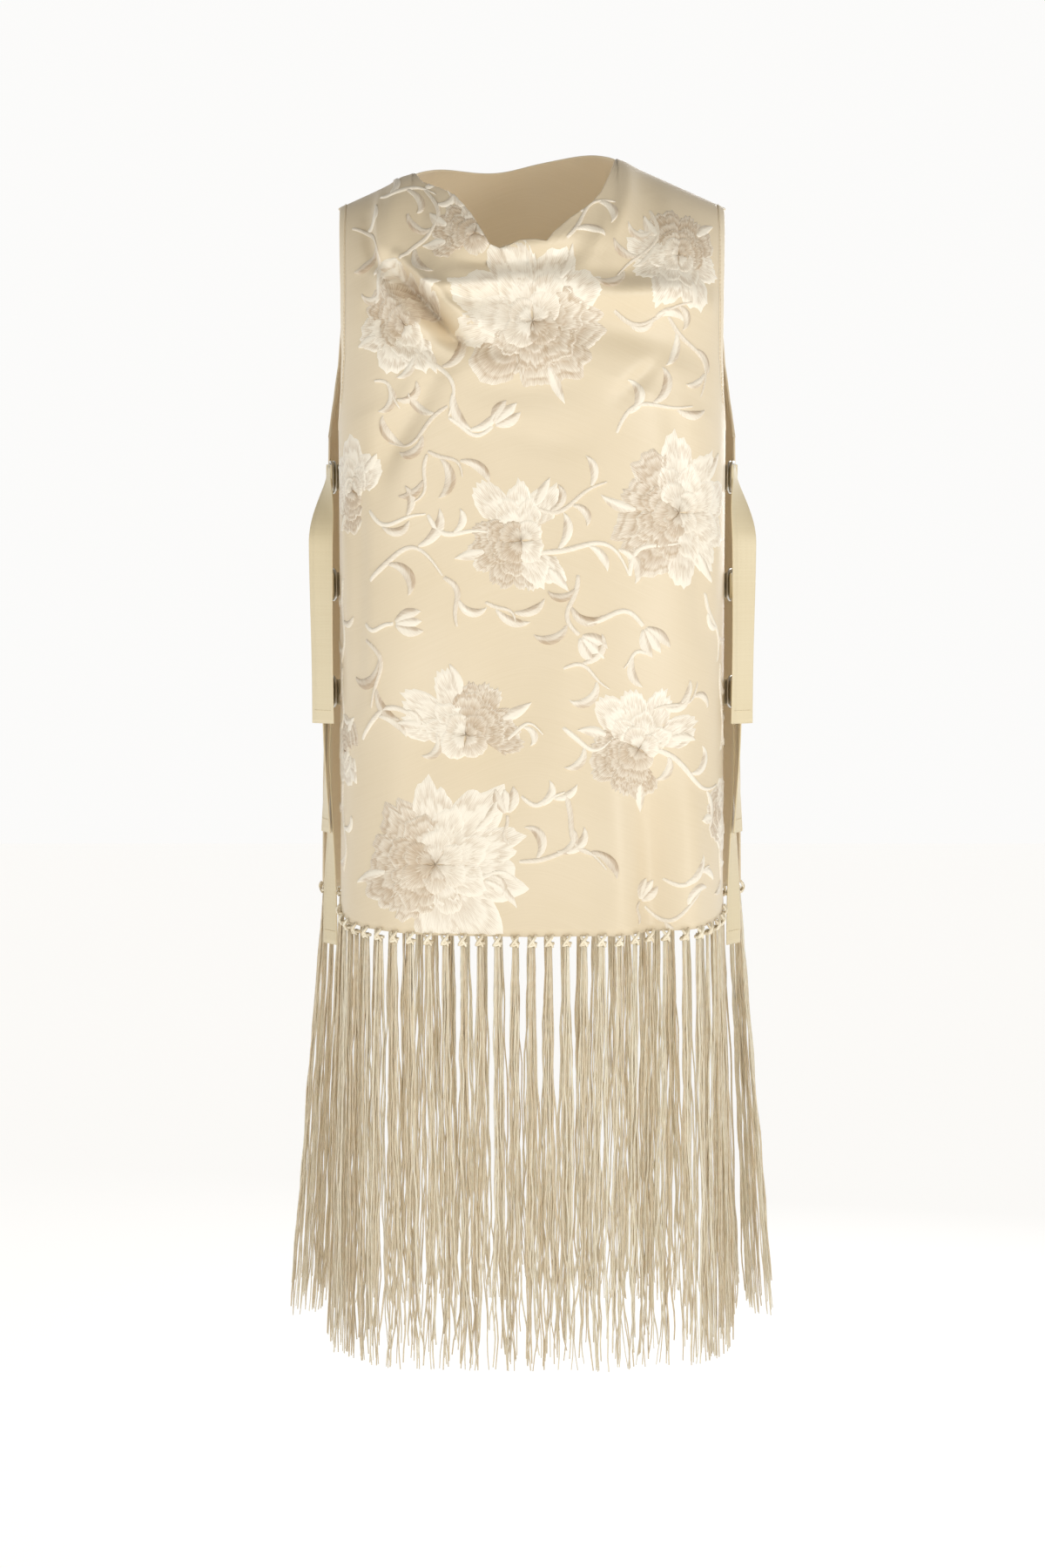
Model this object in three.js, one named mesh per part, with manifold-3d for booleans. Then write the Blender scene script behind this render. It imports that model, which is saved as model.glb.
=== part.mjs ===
// Sleeveless satin top with a cowl neck: front and back panels joined at the shoulders, open
// sides closed by three strap-and-double-D-ring closures each, and a knotted fringe on both hems.
// Millimetres, +Z up, +X to the viewer's right, the front faces -Y. The origin is midway between
// the shoulders, where the neck of the wearer comes through and the top hangs from.

import * as THREE from 'three';
import { mergeVertices } from 'three/addons/utils/BufferGeometryUtils.js';
import Module from 'manifold-3d';

const wasm = await Module();
wasm.setup();

// ---------------------------------------------------------------- driving dimensions
const CLOTH = 1.6;                 // wall of the lined, embroidered satin
const SEAM_GAP = 0.3;              // space between pieces that are sewn together
const SHOULDER_RADIUS = 100;       // the cloth rolls over the shoulder on this radius
const SHOULDER_HEIGHT = 47;        // height that the two shoulder slopes aim at
const SHOULDER_SLOPE = 0.45;       // fall of the shoulder line, per mm sideways
const SHOULDER_SOFTNESS = 20;      // rounding of the shoulder line at the neck

const NECK_LEFT = -86;             // ends of the neck opening on the shoulder seams
const NECK_RIGHT = 61;
const BACK_NECK_DEPTH = 66;        // how far the back neck is scooped, along the cloth
const FACING_WALL = 1.2;           // turned-in lip of the cowl

const BINDING_WIDTH = 8;
const BINDING_WALL = 2.2;
const BINDING_TAPER = 12;          // the binding runs out over this length at the underarm
const UNDERARM = 222;              // shoulder line to the foot of the armhole, along the cloth

const TAPE_WIDTH = 19;
const TAPE_WALL = 1.2;
const TAPE_EASE = 0.25;            // the upright tape clears the sloping panel by this much more
const RING_WIRE = 1.0;             // wire radius
const RING_HALF_HEIGHT = 11.4;     // D-ring, wire centre line
const RING_DEPTH = 16;
const RING_BAR = 7;                // straight bar, from the middle of the closure

const KNOT_SWELL = 1.2;            // how far each knot swells out of the strip
const STRIP_HEIGHT = 3.2;          // narrow strip that holds the fringe
const STRIP_WALL = 4.4;
const STRIP_INSET = 1;             // the strip stops this far inside the panel's side edges
const ROOT_DEPTH = 1.5;            // how far the strands reach up into the strip
const STRAND_RADIUS = 1.15;
const FRINGE_END = -860;           // height of the fringe's ends

// Sections of each panel. down: length along the cloth below the shoulder line. halfWidth and
// depth: half axes of the section. square: exponent of the superellipse. edge: length of cloth
// from the centre line to the panel's side edge.
const FRONT_SECTIONS = [
  { down: 0, halfWidth: 160, depth: 96, square: 2.6, edge: 152 },
  { down: 60, halfWidth: 155, depth: 98, square: 2.8, edge: 153 },
  { down: 120, halfWidth: 150, depth: 102, square: 3.0, edge: 154 },
  { down: 170, halfWidth: 146, depth: 111, square: 3.2, edge: 158 },
  { down: 195, halfWidth: 144.5, depth: 115, square: 3.3, edge: 165 },
  { down: 212, halfWidth: 144, depth: 117, square: 3.3, edge: 175 },
  { down: 222, halfWidth: 143.5, depth: 118, square: 3.4, edge: 183 },
  { down: 340, halfWidth: 143, depth: 115, square: 3.4, edge: 184 },
  { down: 480, halfWidth: 143, depth: 111, square: 3.4, edge: 184 },
  { down: 640, halfWidth: 143.5, depth: 108, square: 3.4, edge: 184 },
];
const BACK_SECTIONS = [
  { down: 0, halfWidth: 160, depth: 84, square: 2.6, edge: 152 },
  { down: 60, halfWidth: 158, depth: 92, square: 2.6, edge: 152 },
  { down: 120, halfWidth: 156, depth: 102, square: 2.6, edge: 157 },
  { down: 170, halfWidth: 154, depth: 106, square: 2.7, edge: 169 },
  { down: 195, halfWidth: 153, depth: 107, square: 2.7, edge: 182 },
  { down: 212, halfWidth: 153, depth: 107, square: 2.7, edge: 194 },
  { down: 222, halfWidth: 153, depth: 107, square: 2.7, edge: 202 },
  { down: 340, halfWidth: 155, depth: 108, square: 2.7, edge: 204 },
  { down: 480, halfWidth: 159, depth: 113, square: 2.7, edge: 207 },
  { down: 640, halfWidth: 161, depth: 117, square: 2.7, edge: 209 },
];

// Front neckline: height of the cowl's edge at each place across the neck.
const FRONT_NECKLINE = [
  { x: -86, z: 6 }, { x: -80, z: -1 }, { x: -67, z: -6 }, { x: -55, z: -14 }, { x: -44, z: -27 },
  { x: -35, z: -42 }, { x: -30, z: -51 }, { x: -23, z: -54 }, { x: -15, z: -52 }, { x: -8, z: -48.5 },
  { x: 2, z: -48 }, { x: 10, z: -49.5 }, { x: 15, z: -42 }, { x: 27, z: -31 }, { x: 42, z: -20 },
  { x: 50, z: -10 }, { x: 56, z: 3 }, { x: 61, z: 16 },
];

// Hem heights across each panel, by distance along the cloth from the centre line.
const FRONT_HEM = [
  { along: 0, z: -549 }, { along: 70, z: -548 }, { along: 130, z: -545 }, { along: 162, z: -541 },
  { along: 184, z: -532 },
];
const BACK_HEM = [
  { along: 0, z: -536 }, { along: 120, z: -535 }, { along: 170, z: -532 }, { along: 208, z: -524 },
];

// Folds of each panel, as ridges (height over zero) and troughs (under zero) along a curve from
// (x1, z1) by way of (x2, z2) to (x3, z3). x is measured along the cloth from the centre line.
const FRONT_FOLDS = [
  { x1: -46, z1: -40, x2: -8, z2: -68, x3: 34, z3: -40, height: 5, width: 8 },
  { x1: -80, z1: -78, x2: 16, z2: -72, x3: 134, z3: -92, height: 6, width: 12 },
  { x1: -60, z1: -62, x2: 0, z2: -64, x3: 50, z3: -56, height: -4, width: 8 },
  { x1: -92, z1: -72, x2: -78, z2: -100, x3: -50, z3: -122, height: -9, width: 9 },
  { x1: -76, z1: -76, x2: -60, z2: -98, x3: -36, z3: -112, height: 6, width: 9 },
  { x1: -92, z1: 4, x2: -108, z2: -30, x3: -104, z3: -76, height: 6, width: 10 },
  { x1: -74, z1: -6, x2: -88, z2: -36, x3: -70, z3: -66, height: -4, width: 9 },
  { x1: 66, z1: 10, x2: 72, z2: -40, x3: 26, z3: -70, height: 6, width: 9 },
  { x1: 84, z1: -10, x2: 92, z2: -50, x3: 60, z3: -78, height: -4, width: 10 },
  { x1: 20, z1: -106, x2: 70, z2: -112, x3: 120, z3: -128, height: -4, width: 13 },
  { x1: -96, z1: -130, x2: -104, z2: -180, x3: -112, z3: -230, height: -3, width: 11 },
  { x1: 96, z1: -150, x2: 118, z2: -220, x3: 128, z3: -330, height: -3, width: 11 },
  { x1: -138, z1: -200, x2: -132, z2: -280, x3: -136, z3: -380, height: -3, width: 10 },
  { x1: -30, z1: -300, x2: -18, z2: -400, x3: -36, z3: -520, height: -3, width: 26 },
  { x1: 82, z1: -440, x2: 96, z2: -500, x3: 92, z3: -580, height: -6, width: 15 },
  { x1: 118, z1: -420, x2: 122, z2: -500, x3: 120, z3: -580, height: 3, width: 12 },
  { x1: -100, z1: -430, x2: -92, z2: -500, x3: -96, z3: -580, height: 3, width: 18 },
];
const BACK_FOLDS = [
  { x1: -70, z1: -40, x2: -92, z2: -120, x3: -100, z3: -220, height: -4, width: 14 },
  { x1: 66, z1: -36, x2: 88, z2: -110, x3: 104, z3: -240, height: -4, width: 14 },
  { x1: -14, z1: -130, x2: -4, z2: -260, x3: -16, z3: -420, height: -4, width: 22 },
  { x1: 60, z1: -330, x2: 66, z2: -440, x3: 58, z3: -580, height: 5, width: 20 },
  { x1: -64, z1: -300, x2: -74, z2: -430, x3: -66, z3: -580, height: 5, width: 22 },
  { x1: 108, z1: -425, x2: 112, z2: -490, x3: 108, z3: -580, height: -5, width: 16 },
  { x1: -110, z1: -425, x2: -114, z2: -490, x3: -108, z3: -580, height: -5, width: 16 },
];

// Closures, from the top down. outset: how far the hanging tail stands out from the rings, so
// that it clears the closures below it. left and right: where the tail hangs, from the rings.
// swing and twist: how far the tail drifts towards the front, and turns to face it.
const CLOSURES = [
  {
    name: '1', z: -217, tail: 189, leftOutset: 14, rightOutset: 15, left: -15, right: -17, bow: 1,
    swing: -24, twist: 0.95,
  },
  {
    name: '2', z: -297, tail: 192, leftOutset: 9, rightOutset: 9.5, left: -18, right: -20, bow: 1,
    swing: 0, twist: 0,
  },
  {
    name: '3', z: -377, tail: 197, leftOutset: 5, rightOutset: 5, left: -15, right: -15, bow: 0,
    swing: 0, twist: 0,
  },
];

// Grid of each panel: cells across, cells down to the underarm, and cells down in all.
const FRONT_GRID = { across: 38, chest: 16, down: 29 };
const BACK_GRID = { across: 24, chest: 11, down: 20 };
const FACING_ROWS = 5;
const FRONT_TASSELS = 29;
const BACK_TASSELS = 33;

const COLOURS = {
  satin: 0xeee2be,
  binding: 0xece0ba,
  tape: 0xe8dcb4,
  fringe: 0xd9cba3,
  metal: 0x55534f,
};

// ---------------------------------------------------------------- small helpers
// Smooth value of one named column of a table at a given key.
function lookUp(rows, key, at, column) {
  const first = rows[0];
  const last = rows[rows.length - 1];
  if (at <= first[key]) return first[column];
  if (at >= last[key]) return last[column];
  const next = rows.findIndex((row) => row[key] > at);
  const low = rows[next - 1];
  const high = rows[next];
  const t = (at - low[key]) / (high[key] - low[key]);
  return low[column] + (high[column] - low[column]) * t;
}

// Repeatable scatter in -1 .. 1 for the strands of the fringe.
function scatter(index, salt) {
  const value = Math.sin(index * 12.9898 + salt * 78.233) * 43758.5453;
  return 2 * (value - Math.floor(value)) - 1;
}

function shoulderLine(x) {
  return SHOULDER_HEIGHT - SHOULDER_SLOPE * Math.hypot(x, SHOULDER_SOFTNESS);
}

// Fall below the shoulder line, and share of the full depth, at a length down the cloth.
function rollOver(down) {
  const quarter = SHOULDER_RADIUS * Math.PI / 2;
  if (down >= quarter) {
    return { fall: SHOULDER_RADIUS + down - quarter, share: 1 };
  }
  const angle = Math.max(down, 0) / SHOULDER_RADIUS;
  return { fall: SHOULDER_RADIUS * (1 - Math.cos(angle)), share: Math.sin(angle) };
}

// The length down the cloth that falls a given height below the shoulder line.
function downForFall(fall) {
  if (fall >= SHOULDER_RADIUS) {
    return SHOULDER_RADIUS * Math.PI / 2 + fall - SHOULDER_RADIUS;
  }
  return SHOULDER_RADIUS * Math.acos(1 - Math.max(fall, 0) / SHOULDER_RADIUS);
}

// Point of a quarter superellipse at a length along it from its middle.
const STEPS = 160;
const sectionCache = new Map();
function sectionPoint(halfWidth, depth, square, along) {
  const key = `${halfWidth.toFixed(2)} ${depth.toFixed(2)} ${square.toFixed(3)}`;
  if (!sectionCache.has(key)) {
    const points = [];
    let length = 0;
    for (let i = 0; i <= STEPS; i += 1) {
      const angle = (i / STEPS) * Math.PI / 2;
      const x = halfWidth * Math.sin(angle) ** (2 / square);
      const y = depth * Math.max(Math.cos(angle), 0) ** (2 / square);
      if (i > 0) {
        const before = points[i - 1];
        length += Math.hypot(x - before.x, y - before.y);
      }
      points.push({ length, x, y });
    }
    sectionCache.set(key, points);
  }
  const points = sectionCache.get(key);
  const reach = Math.min(Math.abs(along), points[STEPS].length);
  const x = lookUp(points, 'length', reach, 'x');
  const y = lookUp(points, 'length', reach, 'y');
  return { x: Math.sign(along) * x, y };
}

// Sum of a panel's folds at a place, in mm outwards.
const FOLD_SAMPLES = 14;
function foldHeight(folds, along, z) {
  let total = 0;
  for (const fold of folds) {
    let nearest = Infinity;
    let where = 0;
    for (let i = 0; i <= FOLD_SAMPLES; i += 1) {
      const t = i / FOLD_SAMPLES;
      const a = (1 - t) * (1 - t);
      const b = 2 * t * (1 - t);
      const c = t * t;
      const x = a * fold.x1 + b * fold.x2 + c * fold.x3;
      const height = a * fold.z1 + b * fold.z2 + c * fold.z3;
      const gap = Math.hypot(along - x, z - height);
      if (gap < nearest) {
        nearest = gap;
        where = t;
      }
    }
    const taper = Math.sin(Math.PI * (0.08 + 0.84 * where)) ** 0.7;
    total += fold.height * taper * Math.exp(-((nearest / fold.width) ** 2));
  }
  return total;
}

// ---------------------------------------------------------------- panel surfaces
const FRONT = { facing: -1, sections: FRONT_SECTIONS, folds: FRONT_FOLDS, hem: FRONT_HEM };
const BACK = { facing: 1, sections: BACK_SECTIONS, folds: BACK_FOLDS, hem: BACK_HEM };

// Point of a panel's smooth form, at a length along the section and a length down the cloth.
function formPoint(panel, along, down) {
  const halfWidth = lookUp(panel.sections, 'down', down, 'halfWidth');
  const depth = lookUp(panel.sections, 'down', down, 'depth');
  const square = lookUp(panel.sections, 'down', down, 'square');
  const flat = sectionPoint(halfWidth, depth, square, along);
  const roll = rollOver(down);
  return new THREE.Vector3(
    flat.x,
    panel.facing * flat.y * roll.share,
    shoulderLine(flat.x) - roll.fall,
  );
}

// Outward normal of the smooth form, from neighbouring points.
function formNormal(panel, along, down) {
  const step = 1.5;
  const low = Math.max(down - step, 0.2);
  const across = formPoint(panel, along + step, down).sub(formPoint(panel, along - step, down));
  const fallen = formPoint(panel, along, down + step).sub(formPoint(panel, along, low));
  return across.cross(fallen).multiplyScalar(panel.facing).normalize();
}

// Point of the cloth itself, with its folds, moved outwards by a distance.
function clothPoint(panel, along, down, outwards = 0) {
  const point = formPoint(panel, along, down);
  const normal = formNormal(panel, along, down);
  const fade = Math.min(1, down / 25) * edgeFade(panel, along, down);
  const height = foldHeight(panel.folds, along, point.z) * fade;
  return point.addScaledVector(normal, height + outwards);
}

// Folds die out towards the side edges, where bindings and straps are sewn.
function edgeFade(panel, along, down) {
  const edge = lookUp(panel.sections, 'down', down, 'edge');
  const room = (edge - Math.abs(along)) / 22;
  return THREE.MathUtils.smoothstep(room, 0, 1);
}

function edgeAt(panel, down) {
  const outer = lookUp(panel.sections, 'down', down, 'edge');
  const bound = Math.min(1, Math.max(0, (UNDERARM - down) / BINDING_TAPER));
  return outer - bound * (BINDING_WIDTH + SEAM_GAP);
}

function heightOfHem(panel, along) {
  return lookUp(panel.hem, 'along', Math.abs(along), 'z');
}

// Length down the cloth at which a panel starts: on the shoulder seam or on the neckline.
function topOf(panel, share) {
  let down = SEAM_GAP;
  for (let pass = 0; pass < 4; pass += 1) {
    const x = formPoint(panel, share * edgeAt(panel, down), down).x;
    down = SEAM_GAP;
    if (x > NECK_LEFT && x < NECK_RIGHT) {
      down = Math.max(SEAM_GAP, panel === FRONT ? frontNeck(x) : backNeck(x));
    }
  }
  return down;
}

function frontNeck(x) {
  return downForFall(shoulderLine(x) - lookUp(FRONT_NECKLINE, 'x', x, 'z'));
}

function backNeck(x) {
  const middle = (NECK_LEFT + NECK_RIGHT) / 2;
  const half = (NECK_RIGHT - NECK_LEFT) / 2;
  const share = (x - middle) / half;
  return BACK_NECK_DEPTH * Math.max(0, 1 - share * share) ** 1.2;
}

// Length down the cloth at which the hem lies, at a length along the section.
function hemAt(panel, along) {
  let down = 600;
  for (let pass = 0; pass < 3; pass += 1) {
    const x = formPoint(panel, along, down).x;
    down = downForFall(shoulderLine(x) - heightOfHem(panel, along));
  }
  return down;
}

function bottomOf(panel, share) {
  return hemAt(panel, share * lookUp(panel.sections, 'down', 640, 'edge'));
}

// ---------------------------------------------------------------- solids from surfaces
// Closed solid from two grids of points, one for each face of a wall. The first face looks
// outwards when its columns run across and its rows run down.
function wallSolid(outer, inner, turned) {
  const rows = outer.length;
  const columns = outer[0].length;
  const positions = [];
  const faces = [];
  for (const grid of [outer, inner]) {
    for (const row of grid) {
      for (const point of row) positions.push(point.x, point.y, point.z);
    }
  }
  const half = rows * columns;
  const at = (side, row, column) => side * half + row * columns + column;
  const quad = (a, b, c, d) => {
    if (turned) {
      faces.push(a, c, b, a, d, c);
    } else {
      faces.push(a, b, c, a, c, d);
    }
  };
  for (let r = 0; r < rows - 1; r += 1) {
    for (let c = 0; c < columns - 1; c += 1) {
      quad(at(0, r, c), at(0, r + 1, c), at(0, r + 1, c + 1), at(0, r, c + 1));
      quad(at(1, r, c), at(1, r, c + 1), at(1, r + 1, c + 1), at(1, r + 1, c));
    }
  }
  for (let c = 0; c < columns - 1; c += 1) {
    quad(at(0, 0, c), at(0, 0, c + 1), at(1, 0, c + 1), at(1, 0, c));
    const end = rows - 1;
    quad(at(0, end, c), at(1, end, c), at(1, end, c + 1), at(0, end, c + 1));
  }
  for (let r = 0; r < rows - 1; r += 1) {
    quad(at(0, r, 0), at(1, r, 0), at(1, r + 1, 0), at(0, r + 1, 0));
    const end = columns - 1;
    quad(at(0, r, end), at(0, r + 1, end), at(1, r + 1, end), at(1, r, end));
  }
  const geometry = new THREE.BufferGeometry();
  geometry.setAttribute('position', new THREE.Float32BufferAttribute(positions, 3));
  geometry.setIndex(faces);
  return geometry;
}

// Wall of cloth over a panel: place(column, row) gives along and down, and offset and wall give
// how far out the outer face lies and how thick the wall is, at each column.
function panelWall(panel, across, down, place, offset, wall) {
  const outer = [];
  const inner = [];
  for (let r = 0; r <= down; r += 1) {
    const outerRow = [];
    const innerRow = [];
    for (let c = 0; c <= across; c += 1) {
      const spot = place(c, r);
      outerRow.push(clothPoint(panel, spot.along, spot.down, offset(c)));
      innerRow.push(clothPoint(panel, spot.along, spot.down, offset(c) - wall(c)));
    }
    outer.push(outerRow);
    inner.push(innerRow);
  }
  return wallSolid(outer, inner, panel.facing > 0);
}

function toManifold(geometry) {
  const bare = geometry.clone();
  bare.deleteAttribute('normal');
  bare.deleteAttribute('uv');
  const merged = mergeVertices(bare, 1e-4);
  const mesh = new wasm.Mesh({
    numProp: 3,
    vertProperties: new Float32Array(merged.attributes.position.array),
    triVerts: new Uint32Array(merged.index.array),
  });
  return new wasm.Manifold(mesh);
}

function fromManifold(solid) {
  const mesh = solid.getMesh();
  const geometry = new THREE.BufferGeometry();
  geometry.setAttribute('position', new THREE.BufferAttribute(mesh.vertProperties, 3));
  geometry.setIndex(new THREE.BufferAttribute(mesh.triVerts, 1));
  return geometry;
}

// ---------------------------------------------------------------- panels and facing
// Place on a panel of one corner of its grid. Rows are even from the top to the underarm, and
// even again from there to the hem.
function gridSpot(panel, grid, column, row) {
  const share = 2 * column / grid.across - 1;
  let down;
  if (row <= grid.chest) {
    const top = topOf(panel, share);
    down = top + (UNDERARM - top) * row / grid.chest;
  } else {
    const lower = (row - grid.chest) / (grid.down - grid.chest);
    down = UNDERARM + (bottomOf(panel, share) - UNDERARM) * lower;
  }
  return { along: share * edgeAt(panel, down), down };
}

function panelPiece(panel, grid) {
  const place = (c, r) => gridSpot(panel, grid, c, r);
  return panelWall(panel, grid.across, grid.down, place, () => 0, () => CLOTH);
}

// The lip lies against the inside of the panel, on the same grid, all along the neckline.
function facingPiece() {
  const columns = [];
  for (let c = 0; c <= FRONT_GRID.across; c += 1) {
    const top = topOf(FRONT, 2 * c / FRONT_GRID.across - 1);
    if (top > 10) columns.push(c);
  }
  const place = (c, r) => gridSpot(FRONT, FRONT_GRID, columns[0] + c, r);
  const inside = -CLOTH - SEAM_GAP;
  const cells = columns.length - 1;
  return panelWall(FRONT, cells, FACING_ROWS, place, () => inside, () => FACING_WALL);
}

function bindingPiece(panel, grid, side) {
  const place = (c, r) => {
    const { down } = gridSpot(panel, grid, side > 0 ? grid.across : 0, r);
    const inner = edgeAt(panel, down) + SEAM_GAP;
    const outer = lookUp(panel.sections, 'down', down, 'edge');
    const width = Math.max(outer - inner, 1);
    const share = side > 0 ? c / 2 : 1 - c / 2;
    return { along: side * (inner + width * share), down };
  };
  const proud = (BINDING_WALL - CLOTH) / 2;
  return panelWall(panel, 2, grid.chest, place, () => proud, () => BINDING_WALL);
}

// ---------------------------------------------------------------- side closures
// Plan of a closure: a point a mm back along the line from the front edge to the back edge,
// measured from the middle of the rings, and o mm outwards.
function closureFrame(closure, side) {
  const frontDown = downForFall(shoulderLine(142) - closure.z);
  const front = clothPoint(FRONT, side * edgeAt(FRONT, frontDown), frontDown);
  const back = clothPoint(BACK, side * edgeAt(BACK, frontDown), frontDown);
  const origin = front.clone().lerp(back, 0.52);
  const backwards = back.clone().sub(front).setZ(0).normalize();
  const outwards = new THREE.Vector3(backwards.y, -backwards.x, 0).multiplyScalar(side);
  const toWorld = (a, o, z) => origin.clone()
    .addScaledVector(backwards, a)
    .addScaledVector(outwards, o)
    .setZ(closure.z + z);
  const toPlan = (point) => {
    const away = point.clone().sub(origin);
    return new THREE.Vector2(away.dot(backwards), away.dot(outwards));
  };
  return { toWorld, toPlan, down: frontDown };
}

// Tape standing on edge along a plan line, as high as the tape is wide.
function tapeOnEdge(frame, line) {
  const outer = [];
  const inner = [];
  for (const height of [TAPE_WIDTH / 2, -TAPE_WIDTH / 2]) {
    const outerRow = [];
    const innerRow = [];
    line.forEach((point, i) => {
      const before = line[Math.max(i - 1, 0)];
      const after = line[Math.min(i + 1, line.length - 1)];
      const run = after.clone().sub(before).normalize();
      const aside = new THREE.Vector2(-run.y, run.x).multiplyScalar(TAPE_WALL / 2);
      outerRow.push(frame.toWorld(point.x + aside.x, point.y + aside.y, height));
      innerRow.push(frame.toWorld(point.x - aside.x, point.y - aside.y, height));
    });
    outer.push(outerRow);
    inner.push(innerRow);
  }
  return { outer, inner };
}

// Plan points of the tape where it lies under a panel's edge, from the hidden end to the edge,
// one point for each column of the panel's grid.
function sewnLine(panel, grid, cells, frame, side) {
  const edge = edgeAt(panel, frame.down);
  const cell = 2 * edge / grid.across;
  const under = -CLOTH - SEAM_GAP - TAPE_EASE - TAPE_WALL / 2;
  const line = [];
  for (let k = cells; k >= 0; k -= 1) {
    const point = clothPoint(panel, side * (edge - k * cell), frame.down, under);
    line.push(frame.toPlan(point));
  }
  return line;
}

function ribbonSolid(spine, turned) {
  const outer = [[], []];
  const inner = [[], []];
  for (const step of spine) {
    for (const row of [0, 1]) {
      const sideways = step.across.clone().multiplyScalar((row ? -1 : 1) * step.width / 2);
      const base = step.centre.clone().add(sideways);
      outer[row].push(base.clone().addScaledVector(step.face, TAPE_WALL / 2));
      inner[row].push(base.clone().addScaledVector(step.face, -TAPE_WALL / 2));
    }
  }
  return wallSolid(outer, inner, turned);
}

// The strap: sewn under the front panel's edge, up through both rings, back over them, and then
// hanging as a tail that turns a little.
const TURN_STEPS = 5;
const TAIL_STEPS = 11;
function strapPiece(closure, side) {
  const frame = closureFrame(closure, side);
  const start = sewnLine(FRONT, FRONT_GRID, 2, frame, side);
  const turnRadius = 3.4;
  const turnMiddle = -3.2;
  const line = [...start];
  const edge = start[start.length - 1];
  line.push(new THREE.Vector2((edge.x - 14) / 2, Math.min(edge.y, -3.6) - 0.2));
  line.push(new THREE.Vector2(-12, -4));
  for (let i = 0; i <= TURN_STEPS; i += 1) {
    const angle = -Math.PI / 2 + (i / TURN_STEPS) * Math.PI;
    line.push(new THREE.Vector2(
      turnMiddle + turnRadius * Math.cos(angle),
      turnRadius * Math.sin(angle),
    ));
  }
  line.push(new THREE.Vector2(-11, 3.8));
  const lead = side > 0 ? closure.right : closure.left;
  line.push(new THREE.Vector2(lead - 7, 4.4));
  const band = tapeOnEdge(frame, line);
  const strap = toManifold(wallSolid(band.outer, band.inner, side < 0));
  const outset = side > 0 ? closure.rightOutset : closure.leftOutset;
  const spine = [];
  for (let i = 0; i <= TAIL_STEPS; i += 1) {
    const t = i / TAIL_STEPS;
    const ease = THREE.MathUtils.smoothstep(t, 0, 0.3);
    const out = 4.6 + (outset - 4.6) * ease + closure.bow * Math.sin(Math.PI * t);
    const a = lead + closure.swing * ease + 2.2 * Math.sin(5.1 * t + Number(closure.name));
    const wave = 0.35 * Math.sin(4.2 * t + 1.3 * Number(closure.name));
    const turn = (closure.twist + wave * (1 - 0.6 * closure.twist)) * ease;
    const centre = frame.toWorld(a, out, TAPE_WIDTH / 2 - 1 - closure.tail * t);
    const plain = frame.toWorld(a + Math.cos(turn), out + Math.sin(turn), 0);
    const across = plain.sub(frame.toWorld(a, out, 0)).normalize();
    const face = new THREE.Vector3().crossVectors(across, new THREE.Vector3(0, 0, side));
    const gathered = THREE.MathUtils.smoothstep(t, 0, 0.12);
    spine.push({ centre, across, face, width: TAPE_WIDTH * (0.66 + 0.34 * gathered) });
  }
  const tail = toManifold(ribbonSolid(spine, side < 0));
  return fromManifold(strap.add(tail));
}

// The short tab on the back panel: sewn under its edge, its end looped round the rings' bars.
function tabPiece(closure, side) {
  const frame = closureFrame(closure, side);
  const start = sewnLine(BACK, BACK_GRID, 1, frame, side);
  const loopRadius = 3.6;
  const neck = RING_BAR + loopRadius - 0.6;
  const line = [...start];
  const edge = start[start.length - 1];
  line.push(new THREE.Vector2((edge.x + neck) / 2, edge.y * 0.4));
  line.push(new THREE.Vector2(neck, 0));
  const band = tapeOnEdge(frame, line);
  const flat = toManifold(wallSolid(band.outer, band.inner, side < 0));
  const loop = tapeOnEdge(frame, circleLine(RING_BAR, loopRadius, 12));
  const closed = closedBand(loop, side);
  return fromManifold(flat.add(closed));
}

function circleLine(centre, radius, steps) {
  const line = [];
  for (let i = 0; i < steps; i += 1) {
    const angle = (i / steps) * 2 * Math.PI;
    line.push(new THREE.Vector2(centre + radius * Math.cos(angle), radius * Math.sin(angle)));
  }
  return line;
}

// A round band from a closed plan line: the tape's loop round the bars.
function closedBand(loop, side) {
  const { outer, inner } = loop;
  const count = outer[0].length;
  const positions = [];
  for (const grid of [outer, inner]) {
    for (const row of grid) {
      for (const point of row) positions.push(point.x, point.y, point.z);
    }
  }
  const at = (face, row, i) => face * 2 * count + row * count + (i % count);
  const faces = [];
  const quad = (a, b, c, d) => {
    if (side < 0) {
      faces.push(a, b, c, a, c, d);
    } else {
      faces.push(a, c, b, a, d, c);
    }
  };
  for (let i = 0; i < count; i += 1) {
    quad(at(0, 0, i), at(0, 0, i + 1), at(0, 1, i + 1), at(0, 1, i));
    quad(at(1, 0, i), at(1, 1, i), at(1, 1, i + 1), at(1, 0, i + 1));
    quad(at(0, 0, i), at(1, 0, i), at(1, 0, i + 1), at(0, 0, i + 1));
    quad(at(0, 1, i), at(0, 1, i + 1), at(1, 1, i + 1), at(1, 1, i));
  }
  const geometry = new THREE.BufferGeometry();
  geometry.setAttribute('position', new THREE.Float32BufferAttribute(positions, 3));
  geometry.setIndex(faces);
  return toManifold(geometry);
}

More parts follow.
